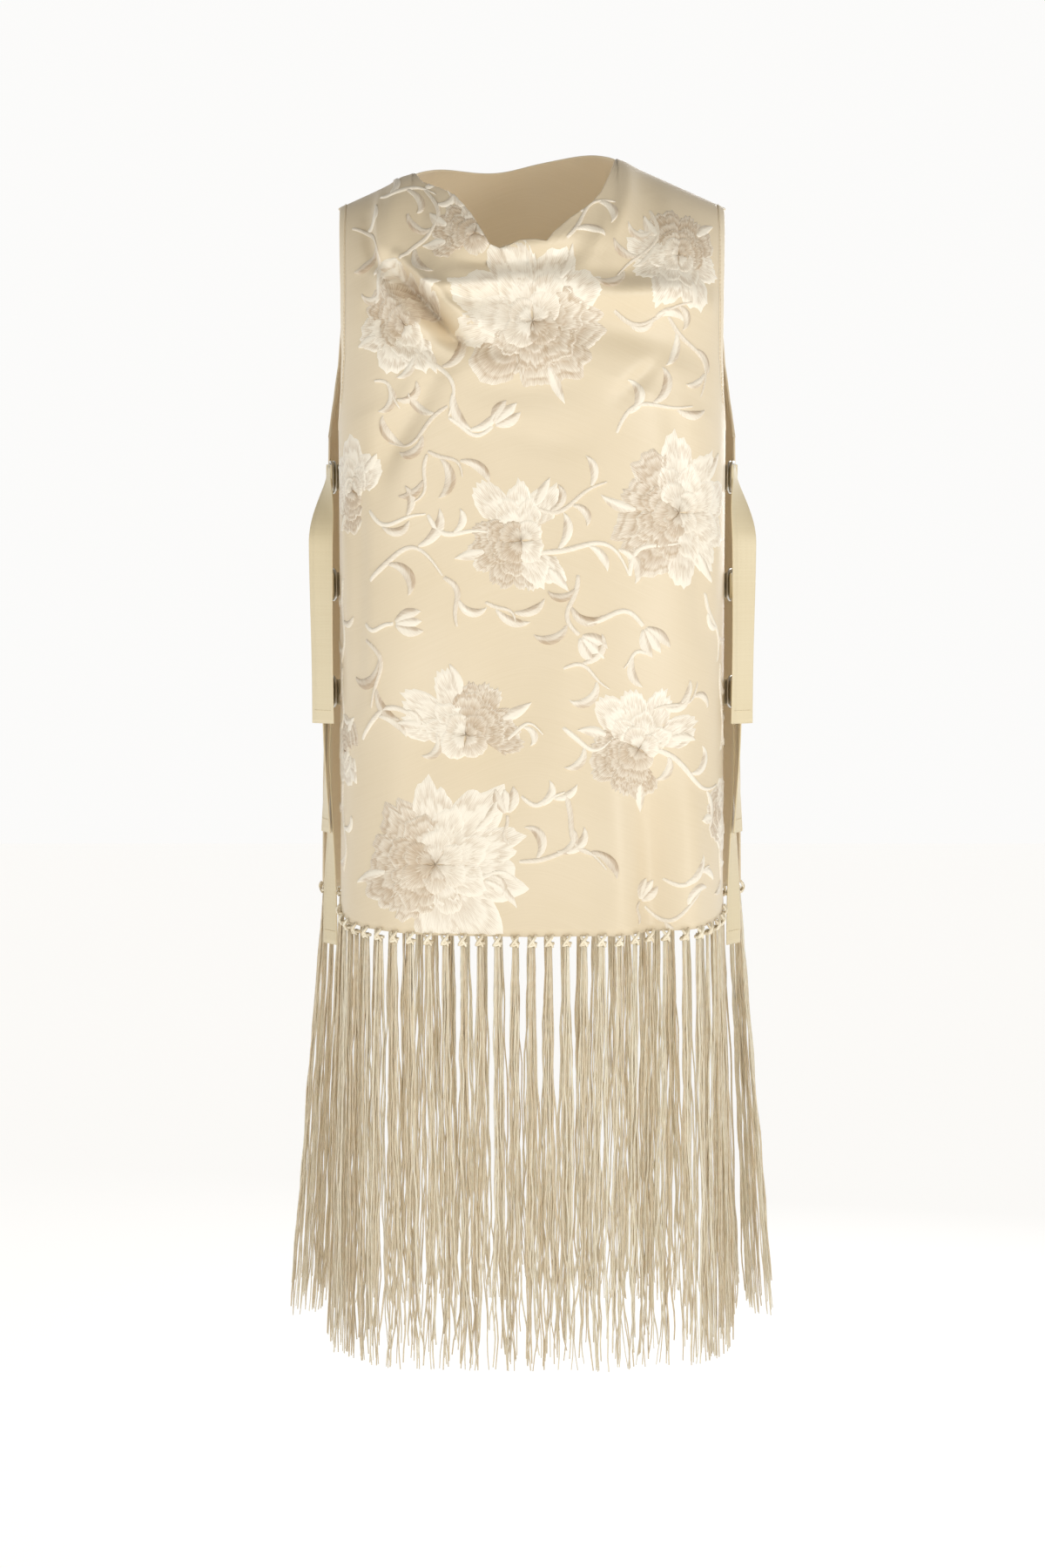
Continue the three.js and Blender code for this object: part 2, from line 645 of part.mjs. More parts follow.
// A D-ring: closed wire with a straight upright bar and a squared bow, leaning out at its bow.
const RING_SIDES = 4;
const BOW_STEPS = 9;
function ringPiece(closure, side, aside, lean) {
  const frame = closureFrame(closure, side);
  const line = [];
  for (let i = 0; i <= BOW_STEPS; i += 1) {
    const angle = -Math.PI / 2 + (i / BOW_STEPS) * Math.PI;
    const reach = Math.abs(Math.cos(angle)) ** 0.5 * RING_DEPTH;
    const height = Math.sign(Math.sin(angle)) * Math.abs(Math.sin(angle)) ** 0.7;
    line.push({ reach, height: height * RING_HALF_HEIGHT });
  }
  line.push({ reach: 0, height: RING_HALF_HEIGHT / 3 });
  line.push({ reach: 0, height: -RING_HALF_HEIGHT / 3 });
  const positions = [];
  const count = line.length;
  const place = (reach, height, across) => {
    const a = RING_BAR - reach * Math.cos(lean) - across * Math.sin(lean);
    const o = aside + reach * Math.sin(lean) - across * Math.cos(lean);
    return frame.toWorld(a, o, height);
  };
  for (let i = 0; i < count; i += 1) {
    const before = line[(i + count - 1) % count];
    const after = line[(i + 1) % count];
    const run = new THREE.Vector2(after.reach - before.reach, after.height - before.height);
    run.normalize();
    for (let k = 0; k < RING_SIDES; k += 1) {
      const angle = (k / RING_SIDES) * 2 * Math.PI;
      const outwards = RING_WIRE * Math.cos(angle);
      const across = RING_WIRE * Math.sin(angle);
      const point = place(
        line[i].reach + run.y * outwards,
        line[i].height - run.x * outwards,
        across,
      );
      positions.push(point.x, point.y, point.z);
    }
  }
  const faces = [];
  for (let i = 0; i < count; i += 1) {
    for (let k = 0; k < RING_SIDES; k += 1) {
      const a = i * RING_SIDES + k;
      const b = i * RING_SIDES + ((k + 1) % RING_SIDES);
      const c = ((i + 1) % count) * RING_SIDES + ((k + 1) % RING_SIDES);
      const d = ((i + 1) % count) * RING_SIDES + k;
      if (side < 0) {
        faces.push(a, b, c, a, c, d);
      } else {
        faces.push(a, c, b, a, d, c);
      }
    }
  }
  const geometry = new THREE.BufferGeometry();
  geometry.setAttribute('position', new THREE.Float32BufferAttribute(positions, 3));
  geometry.setIndex(faces);
  return geometry;
}

// ---------------------------------------------------------------- fringe
// Lengths of the strands: where each tassel ends, and how far it swings out at the sides.
const FRINGES = {
  front: { panel: FRONT, tassels: FRONT_TASSELS, flare: 10, lift: 6 },
  back: { panel: BACK, tassels: BACK_TASSELS, flare: 27, lift: 24 },
};

function strandSolid(root, tip, radius) {
  const positions = [];
  const stations = [0, 1];
  for (const t of stations) {
    const centre = root.clone().lerp(tip, t);
    for (let k = 0; k < 3; k += 1) {
      const angle = (k / 3) * 2 * Math.PI;
      positions.push(
        centre.x + radius * Math.cos(angle),
        centre.y + radius * Math.sin(angle),
        centre.z,
      );
    }
  }
  const faces = [0, 1, 2];
  const last = 3 * (stations.length - 1);
  faces.push(last, last + 2, last + 1);
  for (let s = 0; s < stations.length - 1; s += 1) {
    for (let k = 0; k < 3; k += 1) {
      const a = s * 3 + k;
      const b = s * 3 + ((k + 1) % 3);
      faces.push(a, a + 3, b, b, a + 3, b + 3);
    }
  }
  const geometry = new THREE.BufferGeometry();
  geometry.setAttribute('position', new THREE.Float32BufferAttribute(positions, 3));
  geometry.setIndex(faces);
  return toManifold(geometry);
}

// Places of the four strands of a tassel, sideways and outwards from its middle.
const STRANDS = [
  { sideways: -2.4, outwards: 0.9 },
  { sideways: -0.8, outwards: -0.9 },
  { sideways: 0.8, outwards: 0.9 },
  { sideways: 2.4, outwards: -0.9 },
];

// The backing is a narrow strip under the hem that swells into a knot at each tassel.
function fringePiece({ panel, tassels, flare, lift }) {
  const reach = lookUp(panel.sections, 'down', 640, 'edge') - STRIP_INSET;
  const alongOf = (place) => reach * (-1 + 2 * place / tassels);
  const strip = (c, r) => {
    const along = alongOf(c / 2);
    return { along, down: hemAt(panel, along) + SEAM_GAP + STRIP_HEIGHT * r };
  };
  const swell = (c) => (c % 2 ? KNOT_SWELL : 0);
  const middle = -CLOTH / 2;
  const backing = panelWall(
    panel,
    2 * tassels,
    1,
    strip,
    (c) => middle + STRIP_WALL / 2 + swell(c),
    (c) => STRIP_WALL + swell(c) * 1.5,
  );
  const solids = [toManifold(backing)];
  for (let i = 0; i < tassels; i += 1) {
    const along = alongOf(i + 0.5);
    const down = hemAt(panel, along) + SEAM_GAP + STRIP_HEIGHT - ROOT_DEPTH;
    const centre = clothPoint(panel, along, down, middle);
    const normal = formNormal(panel, along, down).setZ(0).normalize();
    const tangent = new THREE.Vector3(-normal.y, normal.x, 0);
    const share = along / reach;
    const swing = Math.sign(share) * Math.abs(share) ** 3;
    STRANDS.forEach((strand, k) => {
      const number = i * STRANDS.length + k;
      const root = centre.clone()
        .addScaledVector(tangent, strand.sideways)
        .addScaledVector(normal, strand.outwards);
      const tip = root.clone()
        .addScaledVector(tangent, 0.7 * strand.sideways + 0.4 * scatter(number, 1))
        .addScaledVector(normal, 1.4 * strand.outwards + 0.4 * scatter(number, 2));
      tip.x += flare * swing;
      tip.z = FRINGE_END + lift * (0.3 + 0.3 * scatter(number, 3) + 0.4 * Math.abs(swing));
      solids.push(strandSolid(root, tip, STRAND_RADIUS));
    });
  }
  return fromManifold(wasm.Manifold.union(solids));
}

// ---------------------------------------------------------------- assembly
const FINISHES = {
  satin: { color: COLOURS.satin, roughness: 0.55, metalness: 0 },
  binding: { color: COLOURS.binding, roughness: 0.6, metalness: 0 },
  tape: { color: COLOURS.tape, roughness: 0.65, metalness: 0 },
  fringe: { color: COLOURS.fringe, roughness: 0.45, metalness: 0 },
  metal: { color: COLOURS.metal, roughness: 0.3, metalness: 1 },
};

const top = new THREE.Group();
top.name = 'satin_top';

function add(name, geometry, finish) {
  const mesh = new THREE.Mesh(geometry, new THREE.MeshStandardMaterial(FINISHES[finish]));
  mesh.name = name;
  top.add(mesh);
}

add('front_panel', panelPiece(FRONT, FRONT_GRID), 'satin');
add('back_panel', panelPiece(BACK, BACK_GRID), 'satin');
add('cowl_facing', facingPiece(), 'satin');
for (const [sideName, side] of [['left', -1], ['right', 1]]) {
  add(`binding_front_${sideName}`, bindingPiece(FRONT, FRONT_GRID, side), 'binding');
  add(`binding_back_${sideName}`, bindingPiece(BACK, BACK_GRID, side), 'binding');
  for (const closure of CLOSURES) {
    add(`strap_${sideName}_${closure.name}`, strapPiece(closure, side), 'tape');
    add(`tab_${sideName}_${closure.name}`, tabPiece(closure, side), 'tape');
    const wires = RING_WIRE + SEAM_GAP / 2;
    add(`ring_${sideName}_${closure.name}_inner`, ringPiece(closure, side, -wires, 0), 'metal');
    add(`ring_${sideName}_${closure.name}_outer`, ringPiece(closure, side, wires, 0.02), 'metal');
  }
}
add('fringe_front', fringePiece(FRINGES.front), 'fringe');
add('fringe_back', fringePiece(FRINGES.back), 'fringe');

export default top;
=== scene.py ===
"""Sleeveless fringed satin top: embroidered panels, bindings, strap closures and knotted fringe."""

import bpy
import numpy as np
from bpy.props import FloatProperty, FloatVectorProperty, IntProperty, PointerProperty
from bpy.types import Operator, Panel, PropertyGroup
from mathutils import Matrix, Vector


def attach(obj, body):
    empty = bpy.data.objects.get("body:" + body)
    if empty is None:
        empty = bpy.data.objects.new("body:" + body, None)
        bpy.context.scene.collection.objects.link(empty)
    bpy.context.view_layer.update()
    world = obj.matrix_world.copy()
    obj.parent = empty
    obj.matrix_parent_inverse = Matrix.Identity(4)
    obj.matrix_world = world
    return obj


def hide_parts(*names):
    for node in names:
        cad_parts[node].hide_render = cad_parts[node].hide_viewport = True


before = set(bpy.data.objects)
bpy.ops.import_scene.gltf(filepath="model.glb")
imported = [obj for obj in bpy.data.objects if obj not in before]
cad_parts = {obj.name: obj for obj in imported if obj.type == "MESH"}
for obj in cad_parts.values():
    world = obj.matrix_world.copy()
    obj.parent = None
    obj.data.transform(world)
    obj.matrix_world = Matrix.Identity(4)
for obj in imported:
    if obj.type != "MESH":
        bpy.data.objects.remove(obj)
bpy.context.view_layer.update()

bl_info = {
    "name": "Satin Top",
    "version": (1, 0, 0),
    "blender": (4, 5, 0),
    "location": "View3D > Sidebar > Satin Top",
    "description": "Builds a sleeveless satin top with embroidery, strap closures and fringe",
    "category": "Object",
}

MM = 0.001
BODY = "root"
SIDES = (("left", -1), ("right", 1))
UP = np.array([0, 0, 1.0])

# ------------------------------------------------------------------ sizes, in millimetres
CLOTH = 1.6
SEAM_GAP = 0.3
SHOULDER_RADIUS = 100.0
SHOULDER_HEIGHT = 47.0
SHOULDER_SLOPE = 0.45
SHOULDER_SOFTNESS = 20.0
NECK_LEFT = -86.0
NECK_RIGHT = 61.0
BACK_NECK_DEPTH = 66.0
BACK_NECK_POWER = 1.2
FACING_WALL = 1.2
BINDING_TAPER = 12.0
UNDERARM = 222.0
LOWEST = 640.0

TAPE_WALL = 1.2
TAPE_EASE = 0.25
RING_HALF_HEIGHT = 11.4
RING_DEPTH = 16.0
RING_BAR = 7.0
STRIP_HEIGHT = 3.2
# the fringe: lowest ends, tassels, how far they swing out at the sides, and how far they lift
FRINGE_END = -870.0
TASSELS = {"front": 29, "back": 33}
FLARE = {"front": 10.0, "back": 27.0}
LIFT = {"front": 6.0, "back": 24.0}
YARN_SEEDS = {"front": 7, "back": 8}
KNOT_SEEDS = {"front": 17, "back": 18}


def table(names, rows):
    """Table of numbers with named columns."""
    kinds = [(name, "f8") for name in names.split()]
    return np.array([tuple(row) for row in rows], dtype=kinds)


# Sections: half axes and squareness of the superellipse at a length down from the shoulder
# line, and the length of cloth from the centre line to the side edge.
FRONT_SECTIONS = table("down half_width depth square edge", [
    (0, 160, 96, 2.6, 152),
    (60, 155, 98, 2.8, 153),
    (120, 150, 102, 3.0, 154),
    (170, 146, 111, 3.2, 158),
    (195, 144.5, 115, 3.3, 165),
    (212, 144, 117, 3.3, 175),
    (222, 143.5, 118, 3.4, 183),
    (340, 143, 115, 3.4, 184),
    (480, 143, 111, 3.4, 184),
    (640, 143.5, 108, 3.4, 184),
])
BACK_SECTIONS = table("down half_width depth square edge", [
    (0, 160, 84, 2.6, 152),
    (60, 158, 92, 2.6, 152),
    (120, 156, 102, 2.6, 157),
    (170, 154, 106, 2.7, 169),
    (195, 153, 107, 2.7, 182),
    (212, 153, 107, 2.7, 194),
    (222, 153, 107, 2.7, 202),
    (340, 155, 108, 2.7, 204),
    (480, 159, 113, 2.7, 207),
    (640, 161, 117, 2.7, 209),
])
FRONT_NECKLINE = table("x z", [
    (-86, 6), (-80, -1), (-67, -6), (-55, -14), (-44, -27), (-35, -42), (-30, -51), (-23, -54),
    (-15, -52), (-8, -48.5), (2, -48), (10, -49.5), (15, -42), (27, -31), (42, -20), (50, -10),
    (56, 3), (61, 16),
])
FRONT_HEM = table("along z", [(0, -549), (70, -548), (130, -545), (162, -541), (184, -532)])
BACK_HEM = table("along z", [(0, -536), (120, -535), (170, -532), (208, -524)])

# Folds: ridges and troughs along a curve from (x1, z1) by way of (x2, z2) to (x3, z3).
FOLD_COLUMNS = "x1 z1 x2 z2 x3 z3 height width"
FRONT_FOLDS = table(FOLD_COLUMNS, [
    (-46, -40, -8, -68, 34, -40, 5, 8),
    (-80, -78, 16, -72, 134, -92, 6, 12),
    (-60, -62, 0, -64, 50, -56, -4, 8),
    (-92, -72, -78, -100, -50, -122, -9, 9),
    (-76, -76, -60, -98, -36, -112, 6, 9),
    (-92, 4, -108, -30, -104, -76, 6, 10),
    (-74, -6, -88, -36, -70, -66, -4, 9),
    (66, 10, 72, -40, 26, -70, 6, 9),
    (84, -10, 92, -50, 60, -78, -4, 10),
    (20, -106, 70, -112, 120, -128, -4, 13),
    (-96, -130, -104, -180, -112, -230, -3, 11),
    (96, -150, 118, -220, 128, -330, -3, 11),
    (-138, -200, -132, -280, -136, -380, -3, 10),
    (-30, -300, -18, -400, -36, -520, -3, 26),
    (82, -440, 96, -500, 92, -580, -6, 15),
    (118, -420, 122, -500, 120, -580, 3, 12),
    (-100, -430, -92, -500, -96, -580, 3, 18),
])
FRONT_CREASES = table(FOLD_COLUMNS, [
    (-106, -64, -86, -86, -54, -118, -14, 5.5),
    (-96, -60, -74, -78, -42, -108, 8, 4.5),
    (-74, -112, -58, -124, -40, -118, -5, 4.5),
    (-118, -66, -104, -84, -80, -112, 5, 6),
    (-96, -92, -84, -106, -60, -124, 5, 6),
    (-84, -80, -52, -84, -16, -78, 4, 4),
    (-80, -88, -50, -93, -20, -88, -3, 5),
    (-50, -62, -30, -66, 0, -64, -3, 4),
    (22, -84, 62, -94, 118, -80, 3.5, 8),
    (26, -66, 64, -78, 112, -60, -2.5, 8),
    (-46, -112, -36, -122, -14, -130, -4, 7),
    (60, -160, 76, -150, 90, -134, -3.5, 6),
    (-112, -10, -116, -34, -108, -64, 3, 5),
    (-124, -30, -122, -56, -110, -78, -3, 6),
    (60, 0, 62, -28, 50, -56, -3, 5),
    (98, -20, 104, -60, 96, -96, 2.5, 7),
    (-70, -146, -88, -172, -108, -206, -6, 9),
    (-118, -96, -96, -118, -62, -134, -5.5, 8),
    (-40, -150, -10, -158, 30, -150, -2.5, 9),
    (-20, -180, 0, -196, 40, -190, -1.5, 8),
    (82, -430, 94, -500, 84, -580, -7, 15),
    (58, -440, 66, -510, 60, -580, 4, 14),
    (-80, -330, -72, -400, -82, -470, -1.5, 12),
    (20, -230, 30, -330, 18, -420, 1.5, 14),
])
BACK_FOLDS = table(FOLD_COLUMNS, [
    (-70, -40, -92, -120, -100, -220, -4, 14),
    (66, -36, 88, -110, 104, -240, -4, 14),
    (-14, -130, -4, -260, -16, -420, -4, 22),
    (60, -330, 66, -440, 58, -580, 5, 20),
    (-64, -300, -74, -430, -66, -580, 5, 22),
    (108, -425, 112, -490, 108, -580, -5, 16),
    (-110, -425, -114, -490, -108, -580, -5, 16),
])

# Closures from the top down, as in the model: height, length of the tail, how far the tails
# stand out and where they hang.
CLOSURES = table("number z tail left_outset right_outset left right bow swing twist", [
    (1, -217, 189, 14, 15, -15, -17, 1, -24, 0.95),
    (2, -297, 192, 9, 9.5, -18, -20, 1, 0, 0),
    (3, -377, 197, 5, 5, -15, -15, 0, 0, 0),
])


# ------------------------------------------------------------------ the cloth's surface
def bezier(t, a, b, c):
    """Quadratic Bezier curve: (1-t)^2 a + 2t(1-t) b + t^2 c."""
    return (1 - t) ** 2 * a + 2 * t * (1 - t) * b + t * t * c


def smooth_step(value, low, high):
    """Smooth rise from 0 at low to 1 at high: 3t^2 - 2t^3."""
    t = np.clip((value - low) / (high - low), 0, 1)
    return t * t * (3 - 2 * t)


def unit(vectors):
    """The same directions, with length 1."""
    return vectors / np.linalg.norm(vectors, axis=-1, keepdims=True)


def shoulder_line(x):
    """Height of the shoulder line: a hyperbola that falls away on both sides."""
    return SHOULDER_HEIGHT - SHOULDER_SLOPE * np.hypot(x, SHOULDER_SOFTNESS)


def roll_over(down):
    """Fall below the shoulder line and share of the full depth: a quarter circle, then straight."""
    quarter = SHOULDER_RADIUS * np.pi / 2
    angle = np.clip(down, 0, quarter) / SHOULDER_RADIUS
    fall = SHOULDER_RADIUS * (1 - np.cos(angle)) + np.maximum(down - quarter, 0)
    return fall, np.sin(angle)


def down_for_fall(fall):
    """Length down the cloth that falls a given height: the inverse of roll_over."""
    arc = SHOULDER_RADIUS * np.arccos(1 - np.clip(fall, 0, SHOULDER_RADIUS) / SHOULDER_RADIUS)
    return arc + np.maximum(fall - SHOULDER_RADIUS, 0)


class Surface:
    """The outer face of one panel, as a function of the length along and down the cloth."""

    ROW = 2.0
    COLUMN = 1.0
    STEP = 1.5
    FADE = 22
    FADE_AT_TOP = 25
    HEM_GUESS = 600.0

    def __init__(self, name, facing, sections, folds, hem):
        self.name = name
        self.facing = facing
        self.sections = sections
        self.folds = folds
        self.hem = hem
        self.tabulate()

    def tabulate(self):
        """Quarter superellipses by arc length: x = a sin(t)^(2/n), y = b cos(t)^(2/n)."""
        downs = np.arange(0, LOWEST + 60, self.ROW)
        self.alongs = np.arange(0, 260, self.COLUMN)
        angle = np.linspace(0, np.pi / 2, 400)
        self.x_table = np.empty((len(downs), len(self.alongs)))
        self.y_table = np.empty_like(self.x_table)
        for i, down in enumerate(downs):
            power = 2 / self.value("square", down)
            x = self.value("half_width", down) * np.sin(angle) ** power
            y = self.value("depth", down) * np.maximum(np.cos(angle), 0) ** power
            length = np.concatenate([[0], np.cumsum(np.hypot(np.diff(x), np.diff(y)))])
            self.x_table[i] = np.interp(self.alongs, length, x)
            self.y_table[i] = np.interp(self.alongs, length, y)

    def value(self, column, down):
        """A column of the sections at a length down the cloth, by straight interpolation."""
        return np.interp(down, self.sections["down"], self.sections[column])

    def form(self, along, down):
        """Smooth form: the section's point, its depth shrunk towards the shoulder line."""
        rows, columns = self.x_table.shape
        r = np.clip(down / self.ROW, 0, rows - 1.001)
        c = np.clip(np.abs(along) / self.COLUMN, 0, columns - 1.001)
        r0, c0 = r.astype(int), c.astype(int)
        r, c = r - r0, c - c0
        corners = []
        for grid in (self.x_table, self.y_table):
            top = grid[r0, c0] * (1 - c) + grid[r0, c0 + 1] * c
            low = grid[r0 + 1, c0] * (1 - c) + grid[r0 + 1, c0 + 1] * c
            corners.append(top * (1 - r) + low * r)
        x = np.sign(along) * corners[0]
        fall, share = roll_over(down)
        return np.stack([x, self.facing * corners[1] * share, shoulder_line(x) - fall], -1)

    def normal(self, along, down):
        """Outward normal: cross product of the differences across and down."""
        step = self.STEP
        low = np.maximum(down - step, 0.2)
        across = self.form(along + step, down) - self.form(along - step, down)
        fallen = self.form(along, down + step) - self.form(along, low)
        return unit(np.cross(across, fallen) * self.facing)

    def fold_height(self, along, z):
        """Folds: each is its height times a bell curve of the distance from its curve.

        Height * exp(-(distance / width)^2), times sin^0.7 of the way along it, so that it fades
        out at both ends.
        """
        t = np.linspace(0, 1, 41)
        total = np.zeros_like(z)
        for fold in self.folds:
            reach = 3 * fold["width"]
            xs = fold["x1"], fold["x2"], fold["x3"]
            zs = fold["z1"], fold["z2"], fold["z3"]
            near = (along > min(xs) - reach) & (along < max(xs) + reach)
            near &= (z > min(zs) - reach) & (z < max(zs) + reach)
            if not near.any():
                continue
            gap = np.hypot(
                along[near][:, None] - bezier(t, *xs), z[near][:, None] - bezier(t, *zs)
            )
            where = t[gap.argmin(1)]
            taper = np.sin(np.pi * (0.08 + 0.84 * where)) ** 0.7
            total[near] += fold["height"] * taper * np.exp(-((gap.min(1) / fold["width"]) ** 2))
        return total

    def cloth(self, along, down, out=0.0):
        """Point of the cloth: the smooth form, plus its folds and a distance along the normal."""
        along, down = np.broadcast_arrays(np.asarray(along, float), np.asarray(down, float))
        point = self.form(along, down)
        room = self.value("edge", down) - np.abs(along)
        fade = np.minimum(1, down / self.FADE_AT_TOP) * smooth_step(room, 0, self.FADE)
        height = self.fold_height(along, point[..., 2]) * fade
        return point + self.normal(along, down) * (height + out)[..., None]

    def edge(self, down, binding_width):
        """Length along the section to the panel's own side edge, short of the binding."""
        bound = np.clip((UNDERARM - down) / BINDING_TAPER, 0, 1)
        return self.value("edge", down) - bound * (binding_width + SEAM_GAP)

    def hem_down(self, along):
        """Length down the cloth at which the hem lies."""
        z = np.interp(np.abs(along), self.hem["along"], self.hem["z"])
        return self.down_at(along, z, self.HEM_GUESS)

    def neck_down(self, x):
        """Length down the cloth at which the neckline cuts it, nothing beside the neck."""
        if self.facing < 0:
            height = np.interp(x, FRONT_NECKLINE["x"], FRONT_NECKLINE["z"])
            cut = down_for_fall(shoulder_line(x) - height)
        else:
            share = (2 * x - NECK_LEFT - NECK_RIGHT) / (NECK_RIGHT - NECK_LEFT)
            cut = BACK_NECK_DEPTH * np.maximum(0, 1 - share**2) ** BACK_NECK_POWER
        inside = (x > NECK_LEFT) & (x < NECK_RIGHT)
        return np.where(inside, np.maximum(cut, SEAM_GAP), SEAM_GAP)

    def top_down(self, along):
        """Length down the cloth at which the panel starts, at a length along it."""
        down = np.full_like(along, SEAM_GAP)
        for _ in range(4):
            down = self.neck_down(self.form(along, down)[..., 0])
        return down

    def down_at(self, along, z, guess=300.0):
        """Length down the cloth to a height, refined from a guess."""
        down = np.full_like(z, guess)
        for _ in range(3):
            x = self.form(along, down)[..., 0]
            down = down_for_fall(shoulder_line(x) - z)
        return down


FRONT = Surface(
    "front", -1, FRONT_SECTIONS, np.concatenate([FRONT_FOLDS, FRONT_CREASES]), FRONT_HEM
)
BACK = Surface("back", 1, BACK_SECTIONS, BACK_FOLDS, BACK_HEM)


# ------------------------------------------------------------------ meshes from arrays
def grid_quads(rows, columns, wrap_rows=False, wrap_columns=False):
    """Quads of a grid of points. Columns run across and rows run down on an outward face."""
    index = np.arange(rows * columns).reshape(rows, columns)
    if wrap_rows:
        index = np.vstack([index, index[:1]])
    if wrap_columns:
        index = np.hstack([index, index[:, :1]])
    corners = [index[:-1, :-1], index[1:, :-1], index[1:, 1:], index[:-1, 1:]]
    return np.stack(corners, -1).reshape(-1, 4)


class Mesh:
    """Gathers patches of points, in millimetres, and makes one object of them."""

    def __init__(self):
        self.points = []
        self.quads = []
        self.uvs = []
        self.tones = []
        self.count = 0

    def add(self, points, quads, uv=0.0, tone=0.5):
        """A block of points with its quads, which are numbered from its own first point."""
        flat = points.reshape(-1, 3)
        self.points.append(flat)
        self.uvs.append(np.broadcast_to(uv, points.shape[:-1] + (2,)).reshape(-1, 2))
        self.tones.append(np.broadcast_to(tone, points.shape[:-1]).reshape(-1))
        self.quads.append(quads + self.count)
        self.count += len(flat)

    def show(self, name, material):
        """One object at the origin, with UVs in millimetres and a tone for each point."""
        points = np.concatenate(self.points) * MM
        quads = np.concatenate(self.quads)
        uv = np.concatenate(self.uvs)
        mesh = bpy.data.meshes.new(name)
        mesh.vertices.add(len(points))
        mesh.vertices.foreach_set("co", points.astype(np.float32).ravel())
        mesh.loops.add(quads.size)
        mesh.loops.foreach_set("vertex_index", quads.astype(np.int32).ravel())
        mesh.polygons.add(len(quads))
        mesh.polygons.foreach_set("loop_start", np.arange(0, quads.size, 4, dtype=np.int32))
        mesh.update(calc_edges=True)
        layer = mesh.uv_layers.new(name="UVMap")
        layer.data.foreach_set("uv", uv[quads.ravel()].astype(np.float32).ravel())
        shade = mesh.attributes.new("tone", "FLOAT", "POINT")
        shade.data.foreach_set("value", np.concatenate(self.tones).astype(np.float32))
        mesh.polygons.foreach_set("use_smooth", np.ones(len(quads), bool))
        mesh.validate()
        mesh.materials.append(material)
        shown = bpy.data.objects.new(name, mesh)
        bpy.context.scene.collection.objects.link(shown)
        return shown

    def piece(self, name, finish, slot, stands_for=None):
        """A piece of the top, which rides on its one body and may stand for a solid."""
        piece = self.show(name, material_of(finish))
        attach(piece, BODY)
        if stands_for:
            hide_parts(stands_for)
        return piece


def cap(columns, start, flip):
    """Quads that close a ring of an even number of points, straight across."""
    half = columns // 2
    low = np.arange(half - 1)
    quads = np.stack([low, low + 1, columns - 2 - low, columns - 1 - low], -1) + start
    return quads[:, ::-1] if flip else quads


def sweep(mesh, centres, across, face, outline, tone=0.5, closed=False):
    """Carries an outline along a path: centre + across * a + face * b, capped unless closed."""
    ring = centres[:, None] + across[:, None] * outline[..., 0, None]
    ring = ring + face[:, None] * outline[..., 1, None]
    rows, columns = ring.shape[:2]
    run = np.concatenate([[0], np.cumsum(np.linalg.norm(np.diff(centres, axis=0), axis=1))])
    edge = np.diff(ring, axis=1, append=ring[:, :1])
    around = np.linalg.norm(edge, axis=-1).cumsum(1)
    uv = np.stack(np.broadcast_arrays(around, run[:, None]), -1)
    quads = grid_quads(rows, columns, wrap_rows=closed, wrap_columns=True)
    if not closed:
        ends = [cap(columns, 0, False), cap(columns, (rows - 1) * columns, True)]
        quads = np.concatenate([quads] + ends)
    mesh.add(ring, quads, uv, tone)


def sweep_round(mesh, centres, across, outline, tone=0.5):
    """Carries an outline round a closed path, the face at right angles to across and the run."""
    across = np.broadcast_to(across, centres.shape)
    run = np.roll(centres, -1, 0) - np.roll(centres, 1, 0)
    sweep(mesh, centres, across, unit(np.cross(across, run)), outline, tone, closed=True)


def ellipse(half_width, half_height, sides, square=2.0):
    """Superellipse outline, counted round from its wide end."""
    angle = (np.arange(sides) + 0.5) / sides * 2 * np.pi
    c, s = np.cos(angle), np.sin(angle)
    x = half_width * np.sign(c) * np.abs(c) ** (2 / square)
    y = half_height * np.sign(s) * np.abs(s) ** (2 / square)
    return np.stack([x, y], -1)


def frames(path, hint):
    """Directions across a path: perpendicular to its run and to a hint."""
    run = unit(np.gradient(path, axis=0))
    across = unit(np.cross(np.broadcast_to(hint, run.shape), run))
    return across, np.cross(run, across)


def wall(mesh, outer, inner, uv, flip=False):
    """Closed wall of cloth: outer face down, round the hem, inner face up, and both sides."""
    loop = np.concatenate([outer, inner[::-1]])
    rows, columns = loop.shape[:2]
    index = np.arange(rows * columns).reshape(rows, columns)
    quads = [grid_quads(rows, columns, wrap_rows=True)]
    half = rows // 2
    for column, turn in ((0, True), (columns - 1, False)):
        up = index[:half, column]
        back = index[half:, column][::-1]
        side = np.stack([up[:-1], up[1:], back[1:], back[:-1]], -1)
        quads.append(side[:, ::-1] if turn else side)
    quads = np.concatenate(quads)
    if flip:
        quads = quads[:, ::-1]
    mesh.add(loop, quads, np.concatenate([uv, uv[::-1]]))


# ------------------------------------------------------------------ materials
def srgb(red, green, blue):
    """Linear colour from screen values of 0 to 255."""
    value = np.array([red, green, blue]) / 255
    linear = np.where(value <= 0.04045, value / 12.92, ((value + 0.055) / 1.055) ** 2.4)
    return tuple(float(channel) for channel in linear)


